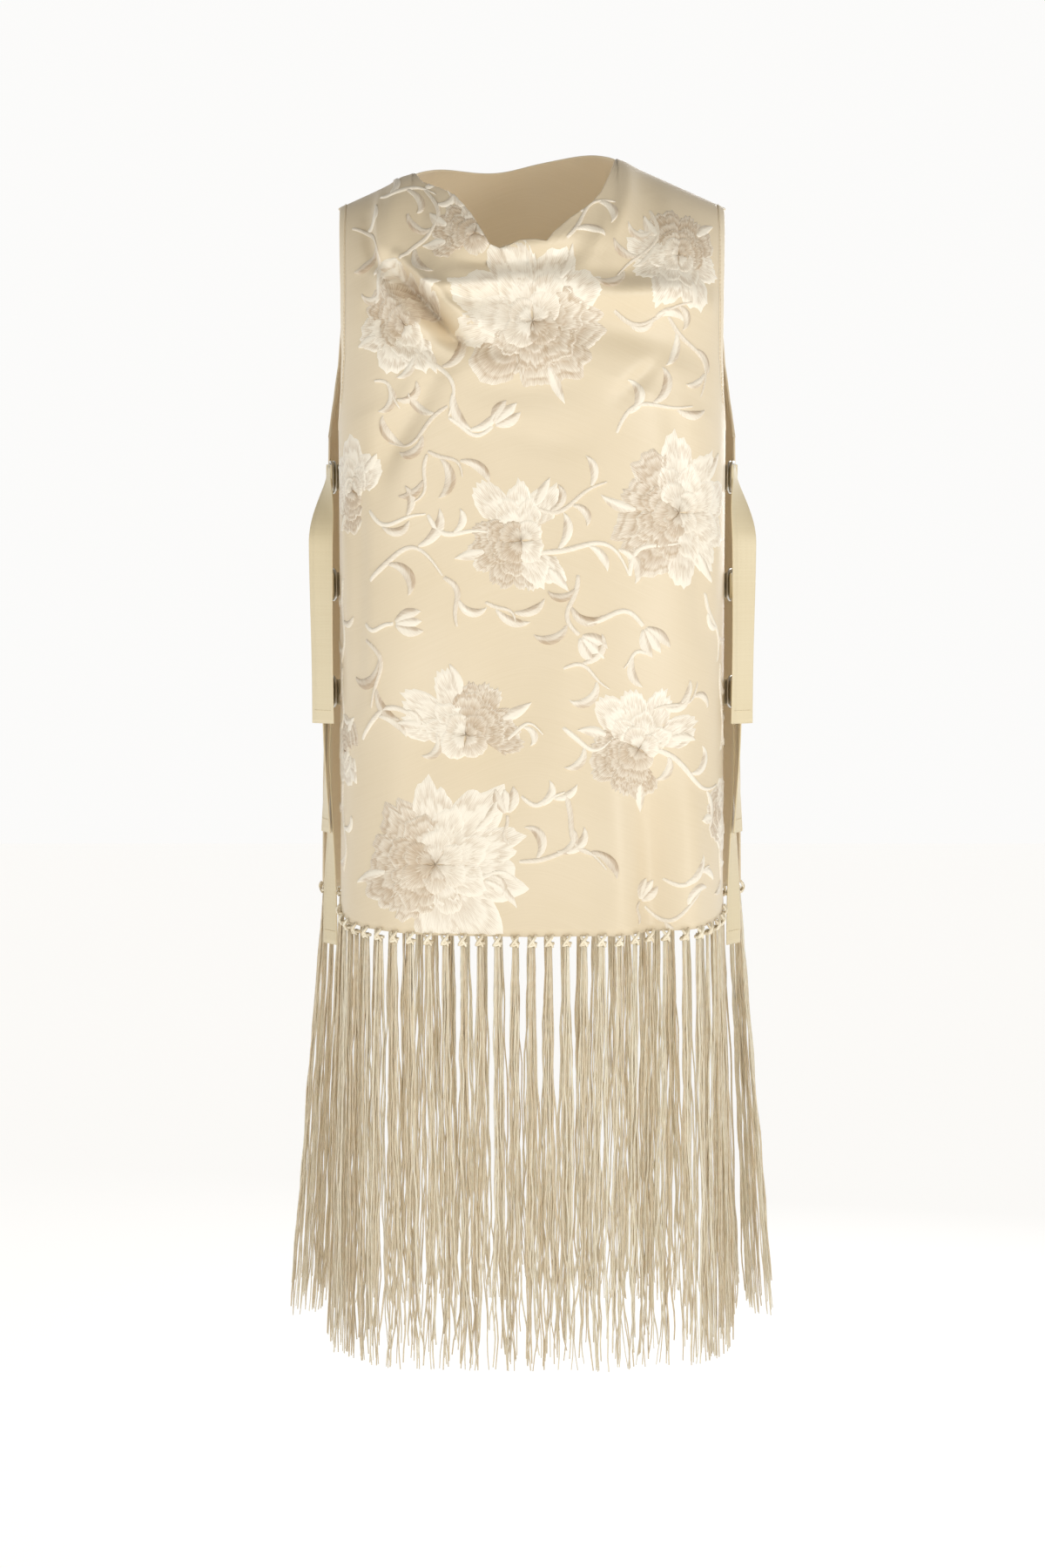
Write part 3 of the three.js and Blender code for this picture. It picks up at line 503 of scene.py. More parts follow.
class Finish:
    """A material's node tree, with short calls for the nodes that the finishes share."""

    def __init__(self, name, **sockets):
        self.material = bpy.data.materials.new(name)
        self.material.use_nodes = True
        self.tree = self.material.node_tree
        self.shader = self.tree.nodes["Principled BSDF"]
        for socket, value in sockets.items():
            self.shader.inputs[socket.replace("_", " ")].default_value = value

    def node(self, kind, **settings):
        made = self.tree.nodes.new("ShaderNode" + kind)
        for key, value in settings.items():
            if key.startswith("in_"):
                made.inputs[key[3:].replace("_", " ")].default_value = value
            else:
                setattr(made, key, value)
        return made

    def link(self, source, target):
        self.tree.links.new(source, target)

    def uv(self, x=1.0, y=1.0, turn=0.0):
        """The piece's own UVs, in millimetres, scaled to a pattern."""
        place = self.node("TexCoord")
        mapping = self.node("Mapping")
        mapping.inputs["Scale"].default_value = (x, y, 1)
        mapping.inputs["Rotation"].default_value = (0, 0, turn)
        self.link(place.outputs["UV"], mapping.inputs["Vector"])
        return mapping.outputs["Vector"]

    def space(self):
        """The place in the object's own space, in metres."""
        return self.node("TexCoord").outputs["Object"]

    def wave(self, vector, direction, scale=1.0, distortion=0.0, detail=0.0):
        made = self.node("TexWave", bands_direction=direction, in_Scale=scale)
        made.inputs["Distortion"].default_value = distortion
        made.inputs["Detail"].default_value = detail
        self.link(vector, made.inputs["Vector"])
        return made.outputs["Fac"]

    def noise(self, vector, scale, detail=2.0):
        made = self.node("TexNoise", in_Scale=scale, in_Detail=detail)
        self.link(vector, made.inputs["Vector"])
        return made.outputs["Fac"]

    def product(self, source, factor):
        """A source times a number or another source."""
        made = self.node("Math", operation="MULTIPLY")
        self.link(source, made.inputs[0])
        if isinstance(factor, float):
            made.inputs[1].default_value = factor
        else:
            self.link(factor, made.inputs[1])
        return made.outputs[0]

    def total(self, source, *weighted):
        """A source, plus each of the others times its own weight."""
        for other, weight in weighted:
            made = self.node("Math", operation="ADD")
            self.link(source, made.inputs[0])
            self.link(self.product(other, weight), made.inputs[1])
            source = made.outputs[0]
        return source

    def ramp(self, factor, low, high, dark, light):
        """Colour that goes from dark to light as the factor goes from low to high."""
        share = self.node("MapRange", in_From_Min=low, in_From_Max=high)
        self.link(factor, share.inputs["Value"])
        made = self.node("ValToRGB")
        made.color_ramp.elements[0].color = (*dark, 1)
        made.color_ramp.elements[1].color = (*light, 1)
        self.link(share.outputs[0], made.inputs["Fac"])
        return made.outputs["Color"]

    def tone(self):
        """The tone that each part of a piece was given when it was made."""
        return self.node("Attribute", attribute_name="tone").outputs["Fac"]

    def colour(self, source):
        self.link(source, self.shader.inputs["Base Color"])

    def bump(self, height, strength, distance):
        made = self.node("Bump", in_Strength=strength, in_Distance=distance)
        self.link(height, made.inputs["Height"])
        self.link(made.outputs["Normal"], self.shader.inputs["Normal"])


def mixed(colour, other, share):
    """A colour with a share of another mixed into it."""
    return tuple(a * (1 - share) + b * share for a, b in zip(colour, other))


def woven(name, colour, thread, roughness, depth):
    """Plain weave: two crossed waves a thread apart, with a slow unevenness in tone."""
    finish = Finish(name, Roughness=roughness, Sheen_Weight=0.25, Sheen_Roughness=0.45)
    # a wave texture with scale 1 repeats every 2 pi / 20 units
    pitch = 2 * np.pi / 20 / thread
    warp = finish.wave(finish.uv(pitch, pitch), "X")
    weft = finish.wave(finish.uv(pitch, pitch), "Y", distortion=0.4)
    slub = finish.noise(finish.uv(0.02, 0.9), 1.0, 3)
    tone = finish.total(finish.noise(finish.space(), 9, 2), (slub, 0.5))
    dark = mixed(colour, (0.42, 0.31, 0.14), 0.12)
    finish.colour(finish.ramp(tone, 0.45, 1.0, dark, mixed(colour, (1, 1, 1), 0.06)))
    finish.bump(finish.total(finish.product(warp, weft), (slub, 0.6)), depth, 0.0001)
    return finish.material


def satin_stitch(name, light, shade):
    """Satin stitch: glossy threads side by side, coloured from painted shade to painted shine by
    the tone each stitched band was given.
    """
    finish = Finish(
        name, Roughness=0.32, Specular_IOR_Level=0.7, Sheen_Weight=0.2, Anisotropic=0.6
    )
    threads = finish.wave(finish.uv(0.34, 0.03), "X", distortion=1.2, detail=2)
    fray = finish.noise(finish.uv(0.9, 0.12), 1.0, 4)
    tone = finish.total(finish.tone(), (fray, 0.8), (threads, 0.2))
    # low tone takes the painted shade colour, high tone the painted shine colour
    finish.colour(finish.ramp(tone, 0.5, 1.3, shade, light))
    finish.bump(finish.total(threads, (fray, 1.6)), 0.5, 0.00016)
    return finish.material


def yarn(name, light, shade):
    """Twisted shiny yarn: slanting plies along each strand, each strand of its own tone, with
    painted glints along it.
    """
    finish = Finish(name, Roughness=0.3, Specular_IOR_Level=0.75, Sheen_Weight=0.15)
    plies = finish.wave(finish.uv(0.4, 0.22, 0.6), "DIAGONAL")
    # painted glints: lighter and darker flecks along each strand
    glint = finish.noise(finish.uv(0.3, 0.2), 1.0, 3)
    tone = finish.total(finish.tone(), (plies, 0.2), (glint, 0.8))
    finish.colour(finish.ramp(tone, 0.5, 1.45, shade, light))
    finish.bump(plies, 0.6, 0.0003)
    return finish.material


def ring_metal(name, colour):
    """Nickel wire, polished, with faint scratches."""
    finish = Finish(name, Metallic=1.0)
    scratch = finish.noise(finish.uv(3, 0.3), 1.0, 4)
    rough = finish.node("MapRange", in_To_Min=0.2, in_To_Max=0.45)
    finish.link(scratch, rough.inputs["Value"])
    finish.link(rough.outputs[0], finish.shader.inputs["Roughness"])
    finish.colour(finish.ramp(scratch, 0.3, 0.8, mixed(colour, (0, 0, 0), 0.25), colour))
    finish.bump(scratch, 0.1, 0.00005)
    return finish.material


def stage_floor(name):
    """Pale and matt, with a faint glow that evens out the floor."""
    finish = Finish(
        name, Roughness=0.9, Emission_Color=(1, 0.99, 0.97, 1), Emission_Strength=0.86
    )
    tint = finish.noise(finish.space(), 0.4, 1)
    finish.colour(finish.ramp(tint, 0.0, 1.0, (0.26, 0.26, 0.26), (0.3, 0.3, 0.3)))
    return finish.material


# each finish: its maker, the settings that colour it, and its own measures
FINISHES = {
    "satin": (woven, ["satin"], (0.62, 0.42, 0.25)),
    "binding": (woven, ["binding"], (0.5, 0.4, 0.25)),
    "tape": (woven, ["tape"], (0.9, 0.5, 0.6)),
    "stitch": (satin_stitch, ["stitch_light", "stitch_shade"], ()),
    "yarn": (yarn, ["yarn_light", "yarn_shade"], ()),
    "metal": (ring_metal, ["metal"], ()),
}


def material_of(key):
    """The finish of a part of the top, made once."""
    name = "top_" + key
    if name in bpy.data.materials:
        return bpy.data.materials[name]
    maker, settings, measures = FINISHES[key]
    chosen = bpy.context.scene.top_colours
    return maker(name, *[tuple(getattr(chosen, setting)) for setting in settings], *measures)


# ------------------------------------------------------------------ settings
def length(label, about, default):
    """A setting that is a length, its default in millimetres."""
    return FloatProperty(
        name=label, description=about, default=default * MM, unit="LENGTH", precision=5
    )


def shade(label, about, screen):
    """A setting that is a colour, its default in screen levels."""
    return FloatVectorProperty(
        name=label, description=about, default=srgb(*screen), subtype="COLOR", min=0, max=1
    )


class TopSizes(PropertyGroup):
    """Sizes of the top's finer pieces."""

    binding_width: length("Binding", "Width of the armhole bindings", 8.0)
    binding_wall: length("Binding wall", "Thickness of the armhole bindings", 2.2)
    tape_width: length("Tape", "Width of the straps and tabs", 19.0)
    ring_wire: length("Ring wire", "Radius of the D-rings' wire", 1.0)
    yarn_radius: length("Yarn", "Radius of one yarn of the fringe", 0.62)
    yarns: IntProperty(name="Yarns", description="Yarns in each tassel", default=11, min=2, max=16)
    relief: length("Relief", "Height of the embroidery over the cloth", 0.9)


class TopColours(PropertyGroup):
    """Colours of the top's cloth, threads and metal."""

    satin: shade("Satin", "Ground cloth of both panels", (234, 217, 185))
    binding: shade("Binding", "Bindings of the armholes", (244, 229, 199))
    tape: shade("Tape", "Straps and ring tabs", (230, 215, 178))
    stitch_light: shade("Stitch light", "Embroidery where the thread shines", (253, 244, 225))
    stitch_shade: shade("Stitch shade", "Embroidery where the thread is in shade", (197, 173, 141))
    yarn_light: shade("Yarn light", "Fringe where the yarn shines", (255, 246, 221))
    yarn_shade: shade("Yarn shade", "Fringe where the yarn is in shade", (222, 200, 161))
    metal: shade("Metal", "D-rings", (232, 229, 221))


def setting(name):
    """A length among the settings, in millimetres."""
    return getattr(bpy.context.scene.top_sizes, name) / MM


# ------------------------------------------------------------------ panels
COLUMNS = 180
CHEST_ROWS = 106
LOWER_ROWS = 66
LIP_ROUND = 1.5
LIP_ROWS = 36
LIP_CUT = (190.0, 30.0)
RIM_ROWS = 4
EVENED_COLUMNS = 7
SHEET_AREA_POINTS = 201


def panel_grid(surface):
    """Grid of a panel: even from its top to the underarm, and even again down to the hem."""
    binding_width = setting("binding_width")
    share = np.linspace(-1, 1, COLUMNS + 1)
    edge = surface.edge(np.array(SEAM_GAP), binding_width)
    top = surface.top_down(share * edge)
    bottom = surface.hem_down(share * surface.value("edge", LOWEST))
    chest = np.linspace(0, 1, CHEST_ROWS + 1)[:, None]
    lower = np.linspace(0, 1, LOWER_ROWS + 1)[1:, None]
    # the steps at the ends of the neckline even out further down
    reach = np.abs(share[:, None] - share[None]) * (COLUMNS / 2)
    weight = np.exp(-((reach / EVENED_COLUMNS) ** 2))
    even = (weight @ top) / weight.sum(1)
    start = top + (even - top) * smooth_step(chest, 0.0, 0.6)
    down = np.vstack([start + (UNDERARM - start) * chest, UNDERARM + (bottom - UNDERARM) * lower])
    # rows that round the top edge
    rim = (np.linspace(0, 1, RIM_ROWS + 1)[1:-1, None] ** 2) * LIP_ROUND
    down = np.vstack([down[:1], top + rim, down[1:]])
    return share * surface.edge(down, binding_width), down, top


def rim_drop(depth, radius):
    """How far a rounded rim lies back from the face at a depth below the edge: a quarter circle."""
    inside = np.clip(radius - depth, 0, radius)
    return radius - np.sqrt(radius**2 - inside**2)


def make_panel(surface):
    """A panel's wall of cloth, whose top edge is rounded where it is a neckline."""
    along, down, top = panel_grid(surface)
    drop = rim_drop(down - top, LIP_ROUND if surface is FRONT else CLOTH / 2)
    outer = surface.cloth(along, down, -drop * smooth_step(top, 4, 12))
    inner = surface.cloth(along, down, -CLOTH)
    mesh = Mesh()
    wall(mesh, outer, inner, np.stack([along, down], -1), flip=surface is BACK)
    mesh.piece(surface.name + "_panel_cloth", "satin", "satin", surface.name + "_panel")


def make_lip():
    """The turned-in lip of the cowl, on the inside of the neckline."""
    along, down, top = panel_grid(FRONT)
    inside = np.flatnonzero(top > 10)
    columns = slice(inside[0], inside[-1] + 1)
    along = np.broadcast_to(along[0, columns], down[:LIP_ROWS, columns].shape)
    share = np.linspace(0, 1, LIP_ROWS)[:, None] ** 1.6
    ends = np.sin(np.linspace(0.2, np.pi - 0.2, along.shape[1])) ** 0.5
    down = top[columns] + LIP_CUT[1] * ends * share
    out = -CLOTH - SEAM_GAP
    drop = rim_drop(down - top[columns], LIP_ROUND)
    outer = FRONT.cloth(along, down, out)
    inner = FRONT.cloth(along, down, out - FACING_WALL + 0.8 * drop)
    mesh = Mesh()
    wall(mesh, outer, inner, np.stack([along, down], -1))
    mesh.piece("cowl_lip", "satin", "satin", "cowl_facing")


def sheet_area(surface, width):
    """Area of cloth in a panel: its width times the mean height from its top to its hem."""
    along = np.linspace(-1, 1, SHEET_AREA_POINTS) * surface.value("edge", LOWEST)
    height = surface.hem_down(along) - surface.top_down(along)
    outside = np.abs(along) > surface.value("edge", 0) - setting("binding_width")
    height = np.where(outside, height - UNDERARM, height)
    return float(height.mean()) * MM * width


class TOP_OT_panels(Operator):
    """Front and back panels with their folds, and the turned-in lip of the cowl"""

    bl_idname = "object.top_panels"
    bl_label = "Panels"

    def execute(self, context):
        make_panel(FRONT)
        make_panel(BACK)
        make_lip()
        return {"FINISHED"}


# ------------------------------------------------------------------ embroidery
# Flowers: the heart's place as seen from the front, the reach of the petals and their number, the
# direction the flower faces and how far round it its petals stand, and the side in shade.
FLOWER_COLUMNS = "x z reach petals facing round shaded"
FRONT_FLOWERS = table(FLOWER_COLUMNS, [
    (0, -106, 52, 9, 270, 360, 300),
    (-92, -108, 35, 6, 170, 300, 130),
    (-40, -44, 34, 4, 150, 130, 200),
    (105, -58, 33, 8, 270, 360, 70),
    (106, -242, 51, 10, 180, 360, 190),
    (-8, -262, 41, 8, 185, 280, 225),
    (-48, -402, 44, 7, 85, 210, 25),
    (77, -412, 39, 8, 150, 290, 215),
    (-70, -496, 57, 11, 180, 360, 200),
    (-131, -226, 31, 5, 150, 280, 300),
    (-137, -417, 25, 4, 180, 300, 60),
    (138, -464, 25, 4, 180, 320, 180),
])
# Vines: an arc between two places, its rise at the middle, its width, its number of leaves and
# their length, whether it ends in a bud, and how light it shines.
VINE_COLUMNS = "x1 z1 x2 z2 rise width leaves reach bud light"
FRONT_VINES = table(VINE_COLUMNS, [
    (-80, -6, -94, -62, 12, 2.6, 4, 19, 1, 0.6),
    (-132, -36, -104, -92, 9, 2.6, 5, 21, 0, 0.55),
    (-110, -16, -70, -12, 3, 2.0, 3, 15, 0, 0.8),
    (-92, -116, -60, -174, 9, 3.2, 3, 25, 0, 0.75),
    (-60, -174, -28, -180, -6, 2.8, 1, 20, 1, 0.85),
    (-60, -166, -106, -192, 6, 2.6, 4, 22, 0, 0.5),
    (-114, -148, -96, -168, 4, 2.2, 2, 20, 0, 0.7),
    (58, -98, 114, -92, -7, 2.8, 4, 19, 0, 0.5),
    (97, -102, 121, -160, 9, 2.6, 4, 19, 0, 0.5),
    (60, -186, 116, -166, 9, 2.6, 3, 24, 0, 0.7),
    (86, -22, 60, -74, 9, 2.6, 5, 21, 0, 0.6),
    (24, -48, 60, -20, 6, 2.4, 4, 17, 0, 0.6),
    (-75, -198, -50, -217, 4, 2.6, 2, 24, 0, 0.5),
    (-75, -200, -88, -236, 4, 2.4, 1, 22, 0, 0.6),
    (-118, -240, -76, -243, -6, 2.8, 2, 20, 0, 0.85),
    (-75, -243, -30, -256, -6, 3.2, 1, 18, 0, 0.95),
    (-118, -292, -64, -288, 16, 3.4, 2, 26, 0, 0.65),
    (-64, -288, -54, -324, 4, 3.6, 1, 20, 0, 0.5),
    (-122, -322, -100, -322, -3, 2.8, 0, 20, 1, 0.9),
    (-34, -306, -12, -324, 4, 2.4, 2, 20, 0, 0.6),
    (-122, -334, -117, -384, 9, 3.0, 2, 28, 0, 0.5),
    (-2, -236, 54, -220, -6, 3.0, 4, 20, 0, 0.6),
    (4, -271, 70, -288, 12, 3.4, 3, 23, 0, 0.8),
    (70, -288, 108, -264, 9, 3.4, 0, 22, 0, 0.95),
    (33, -286, 34, -330, -5, 3.0, 3, 21, 1, 0.6),
    (38, -322, 80, -324, 7, 3.2, 0, 22, 1, 0.8),
    (84, -344, 66, -354, -4, 2.4, 1, 20, 0, 0.8),
    (22, -354, 56, -369, 5, 2.4, 2, 22, 0, 0.7),
    (86, -384, 120, -364, -6, 2.4, 3, 19, 0, 0.6),
    (-124, -408, -54, -410, 18, 3.4, 3, 21, 0, 0.75),
    (22, -396, 60, -402, -9, 3.2, 1, 18, 0, 0.95),
    (-18, -406, 8, -402, 7, 2.4, 1, 18, 0, 0.85),
    (-16, -482, -18, -460, 2, 2.4, 0, 18, 1, 0.5),
    (-8, -446, 24, -443, -5, 2.8, 2, 20, 0, 0.8),
    (24, -443, 53, -490, -9, 3.4, 1, 20, 0, 0.55),
    (86, -412, 136, -441, -5, 3.4, 3, 21, 0, 0.85),
    (-10, -494, 54, -500, 8, 3.0, 4, 22, 0, 0.6),
    (-50, -506, -10, -510, 4, 3.4, 1, 20, 0, 0.95),
    (79, -541, 80, -524, 1, 2.2, 0, 16, 1, 0.35),
    (84, -528, 122, -516, -11, 2.6, 2, 20, 0, 0.65),
    (98, -508, 130, -500, -4, 2.6, 2, 20, 0, 0.8),
    (126, -300, 135, -352, 4, 2.6, 2, 19, 0, 0.7),
    (138, -352, 138, -418, 4, 2.6, 3, 19, 0, 0.7),
    (-138, -290, -140, -354, 4, 2.6, 3, 19, 0, 0.7),
    (-139, -356, -140, -404, 3, 2.4, 2, 18, 0, 0.7),
    (-139, -440, -139, -508, 3, 2.6, 3, 19, 0, 0.7),
    (139, -484, 137, -524, 2, 2.4, 2, 18, 0, 0.7),
])
BACK_WIDEN = 1.08
BACK_CENTRE = table(FLOWER_COLUMNS, [(20, -62, 50, 9, 270, 360, 120)])


PETAL_ACROSS = 19
RIBBON_ACROSS = 7
LEAF_STEPS = 15
VINE_STEPS = 27
CUT_MARGIN = 1.0
SUNK = -0.25
NOTCH_WIDTH = 12
TOOTH_WIDTH = 5.6
POINTED = 0.26
LEAF_STEM = 1.8
# for each ring of petals: its share of the outer number, of the reach, and its stitched bands
FLOWER_RINGS = ((0.95, 1.0, 4), (0.75, 0.68, 3), (0.5, 0.38, 2))
# what each vine's own rise, width, length of leaf and number of leaves are multiplied by
VINE_RISE, VINE_WIDTH, LEAF_REACH, LEAF_SHARE = 1.3, 1.2, 1.45, 0.7


class Embroidery:
    """Stitches laid on one panel. Motifs are drawn flat, as x along the cloth and z up."""

    def __init__(self, surface, widen):
        self.surface = surface
        self.widen = widen
        self.relief = setting("relief")
        self.mesh = Mesh()

    def spread(self, x, z):
        """Length along the cloth of a point as seen from the front, at a height."""
        surface = self.surface
        x = np.asarray(x, float) * self.widen
        down = surface.down_at(x, np.asarray(z, float))
        rows = np.clip((down / surface.ROW).astype(int), 0, len(surface.x_table) - 1)
        flat = [
            np.interp(abs(value), surface.x_table[row], surface.alongs)
            for value, row in zip(np.ravel(x), np.ravel(rows))
        ]
        return np.sign(x) * np.reshape(flat, x.shape)

    def lay(self, x, z, height, uv, tone, sunk_start=True):
        """Lays a flat patch on the cloth, raised by its height, and drops what is off the cloth."""
        surface = self.surface
        down = surface.down_at(x, z)
        top = surface.top_down(x) + CUT_MARGIN
        hem = surface.hem_down(x) - CUT_MARGIN
        edge = surface.edge(np.clip(down, 0, LOWEST), setting("binding_width")) - CUT_MARGIN
        off = (down < top) | (down > hem) | (np.abs(x) > edge)
        border = off.copy()
        border[0] |= sunk_start
        border[-1] = border[:, 0] = border[:, -1] = True
        out = np.where(border, SUNK, height)
        points = surface.cloth(np.clip(x, -edge, edge), np.clip(down, top, hem), out)
        quads = grid_quads(*x.shape)
        quads = quads[~off.ravel()[quads].all(1)]
        if not len(quads):
            return
        flat = np.stack([x, z], -1).reshape(-1, 2)
        a, b, c = (flat[quads[:, k]] for k in (0, 1, 2))
        ab, bc = b - a, c - b
        turn = (ab[:, 0] * bc[:, 1] - ab[:, 1] * bc[:, 0]).sum() * surface.facing
        self.mesh.add(points, quads[:, ::-1] if turn > 0 else quads, uv, tone)

    def petal(self, x, z, turn, reach, spread, light, bands, layer, point, draw):
        """One petal: a fan from its heart, whose stitched bands follow its notched edge.

        Radius = reach * s * (1 - 0.25 t^2) * (1 + notches + point * s^3 * (1 - |t|)^1.3), at
        turn + spread * t * s^0.4. Each band rises towards its outer edge, as a shingle does.
        """
        s = np.linspace(0.0, 1, 4 * bands + 4)[:, None]
        t = np.linspace(-1, 1, PETAL_ACROSS)[None]
        width = 1.6 * spread * reach
        lobes = 2 if point else max(2, round(width / NOTCH_WIDTH))
        lean = draw.uniform(-0.3, 0.3)
        notch = np.abs(np.sin(np.pi * lobes * (t + lean) / 2)) ** 0.6
        teeth = np.abs(((t * width / TOOTH_WIDTH + 50) % 1) - 0.5) * 2
        radius = reach * s * (1 - 0.25 * t**2)
        radius = radius * (1 + s**2 * (0.12 * notch + 0.07 * teeth - 0.1))
        radius = radius * (1 + point * s**3 * (1 - np.abs(t)) ** 1.3)
        theta = turn + spread * t * s**0.4 + 0.1 * lean * s * s
        phase = s * bands - s * (0.3 * notch + 0.26 * teeth)
        inside = phase % 1
        stitched = np.floor(phase)
        shingle = inside**0.8 * (1 - smooth_step(inside, 0.9, 1.0))
        swell = 1 - 0.55 * np.abs(t) ** 4
        height = (0.12 + 0.36 * layer + self.relief * (0.25 + 0.75 * shingle)) * swell
        # painted sheen: each stitched band is made lighter or darker as if its stitches turned to
        # the light
        turned = np.sin(stitched * 2.3 + draw.uniform(0, 6) + 1.5 * t)
        # the petal's painted light or shade, lighter towards each band's outer edge, darker towards
        # the heart, with painted shade along its two sides
        tone = light * 0.56 + 0.42 * inside + 0.1 * turned - 0.14 * (1 - s) - 0.25 * np.abs(t) ** 6
        # a lighter rim round the petal's edge, and a painted shadow line along the outer edge of
        # each band, where it drops to the next
        tone = tone + 0.16 * (s > 0.92) - 0.34 * (inside > 0.88)
        uv = np.stack(np.broadcast_arrays(spread * t * reach * 0.7, radius), -1)
        x = x + radius * np.cos(theta)
        z = z + radius * np.sin(theta)
        self.lay(x, z, height, uv, np.clip(tone, 0, 1), sunk_start=False)

    def flower(self, row, draw):
        """Rings of petals, each shorter and laid over the last, with leaves between them.

        Petal k of n stands at facing + round * ((k + 1/2) / n - 1/2), and it is painted in shade
        where that is within about 75 degrees of the shaded side.
        """
        x = float(self.spread(row["x"], row["z"]))
        heart = np.array([x, row["z"]])
        facing, round_it, shaded = np.radians([row["facing"], row["round"], row["shaded"]])
        for layer, (share, reach, bands) in enumerate(FLOWER_RINGS):
            count = max(3, round(row["petals"] * share))
            arc = round_it if layer < len(FLOWER_RINGS) - 1 else 2 * np.pi
            for k in draw.permutation(count):
                turn = facing + arc * ((k + 0.5) / count - 0.5) + draw.uniform(-0.1, 0.1)
                # petals turned towards the shaded side are painted in shade, the others in light
                away = np.cos(turn - shaded)
                light = 0.92 - 0.68 * smooth_step(away + draw.uniform(-0.35, 0.35), 0.1, 0.5)
                spread = 0.7 * arc / count * draw.uniform(0.9, 1.1)
                size = row["reach"] * reach * draw.uniform(0.84, 1.08)
                fan = light < 0.6 and layer < 2
                point, rows = (0.0, bands + 2) if fan else (POINTED, bands)
                self.petal(
                    x, row["z"], turn, size, spread, float(light), rows, layer, point, draw
                )
            if layer:
                continue
            # narrow leaves that stand out between the petals
            for share in (-0.4, 0.05, 0.4):
                turn = facing + round_it * share + draw.uniform(-0.4, 0.4)
                ray = np.array([np.cos(turn), np.sin(turn)])
                place = heart + 0.6 * row["reach"] * ray
                curl = draw.uniform(-0.8, 0.8)
                self.leaf(place, turn, 0.62 * row["reach"], curl, 9.0, 0.95, 0.4)

    def ribbon(self, path, first, widest, last, at, light):
        """A stem, leaf or bud: a domed ribbon along a path, s being the share of its points.

        Width = first + (widest - first)(1 - (1 - s/at)^1.7) up to its widest place, and
        last + (widest - last)(1 - u^1.7) from there on.
        """
        s = np.linspace(0, 1, len(path))[:, None]
        t = np.linspace(-1, 1, RIBBON_ACROSS)[None]
        step = np.gradient(path, axis=0)
        size = np.hypot(step[:, :1], step[:, 1:])
        rising = 1 - np.maximum(1 - s / at, 0) ** 1.7
        falling = 1 - np.maximum((s - at) / (1 - at), 0) ** 1.7
        before = first + (widest - first) * rising
        after = last + (widest - last) * falling
        half = np.maximum(np.where(s < at, before, after), 0.3) / 2
        run = np.concatenate([[[0]], np.cumsum(size[1:], axis=0)])
        height = 0.15 + self.relief * np.sqrt(np.maximum(0, 1 - 0.92 * t**2)) + 0 * half
        broad = smooth_step(half, 1.5, 3.5)
        # a broad ribbon is painted in shade on one half of its width, as if its stitches there
        # slanted away from the light, and is lighter and darker in slow waves along it
        tone = light * 0.7 + 0.2 - 0.42 * broad * smooth_step(t, 0.0, 0.3)
        tone = tone + 0.12 * broad * np.sin(run / 5)
        uv = np.stack(np.broadcast_arrays(run + 1.2 * t * half, half * t), -1)
        x = path[:, :1] - step[:, 1:] / size * half * t
        z = path[:, 1:] + step[:, :1] / size * half * t
        self.lay(x, z, height, uv, np.clip(tone, 0, 1))

    def leaf(self, place, heading, reach, curl, widest, light, at=0.45):
        """A leaf: an arc of a length that turns by its curl, thin at both ends."""
        s = np.linspace(0, 1, LEAF_STEPS)
        bend = heading + curl * s**1.2
        steps = np.stack([np.cos(bend), np.sin(bend)], -1) * reach / LEAF_STEPS
        self.ribbon(place + np.cumsum(steps, axis=0), LEAF_STEM, widest, 0, at, light)

    def vine(self, row, draw):
        """A vine: the straight line between its ends, with an arch and a slight S across it.

        Across = VINE_RISE * rise * 4s(1-s) + wobble * sin(2 pi s).

        Its leaves stand off it to both sides in turn and curl away, and a bud is three leaves
        that close over one another.
        """
        ends = np.array([[row["x1"], row["z1"]], [row["x2"], row["z2"]]])
        ends[:, 0] = self.spread(ends[:, 0], ends[:, 1])
        start = ends[0]
        chord = ends[1] - start
        span = np.hypot(*chord)
        across = np.array([-chord[1], chord[0]]) / span
        wobble = 0.075 * span * draw.choice([-1, 1])

        def place(s):
            s = np.asarray(s, float)[..., None]
            swing = VINE_RISE * row["rise"] * 4 * s * (1 - s) + wobble * np.sin(2 * np.pi * s)
            return start + chord * s + across * swing

        width = VINE_WIDTH * row["width"]
        last = 0.9 * width if row["bud"] else 0.4 * width
        path = place(np.linspace(0, 1, VINE_STEPS))
        self.ribbon(path, 0.7 * width, 1.15 * width, last, 0.2, row["light"])
        leaves = int(np.ceil(LEAF_SHARE * row["leaves"]))
        side = draw.choice([-1, 1])
        for k in range(leaves):
            s = (k + 0.6) / (leaves + 0.4)
            run = place(s + 0.02) - place(s - 0.02)
            heading = np.arctan2(run[1], run[0]) + side * draw.uniform(0.25, 0.7)
            reach = LEAF_REACH * row["reach"] * draw.uniform(0.75, 1.1)
            light = np.clip(row["light"] + draw.uniform(-0.35, 0.3), 0.1, 1)
            curl = side * draw.uniform(1.1, 2.7) * draw.choice([1, 1, 1, -1])
            self.leaf(place(s), heading, reach, curl, 2.4 + reach * 0.17, light, 0.55)
            side = -side
        if row["bud"]:
            tip = place(1.0)
            run = tip - place(0.96)
            ahead = np.arctan2(run[1], run[0])
            for turn in (-0.62, 0.62, 0.0):
                reach = 1.15 * row["reach"] * draw.uniform(0.9, 1.1)
                # the bud's two side leaves are painted in shade and its middle leaf in light
                light = np.clip(0.9 - 0.5 * abs(turn) + draw.uniform(-0.1, 0.15), 0.1, 1)
                self.leaf(tip, ahead + turn, reach, -1.1 * turn, 9.5, light, 0.5)


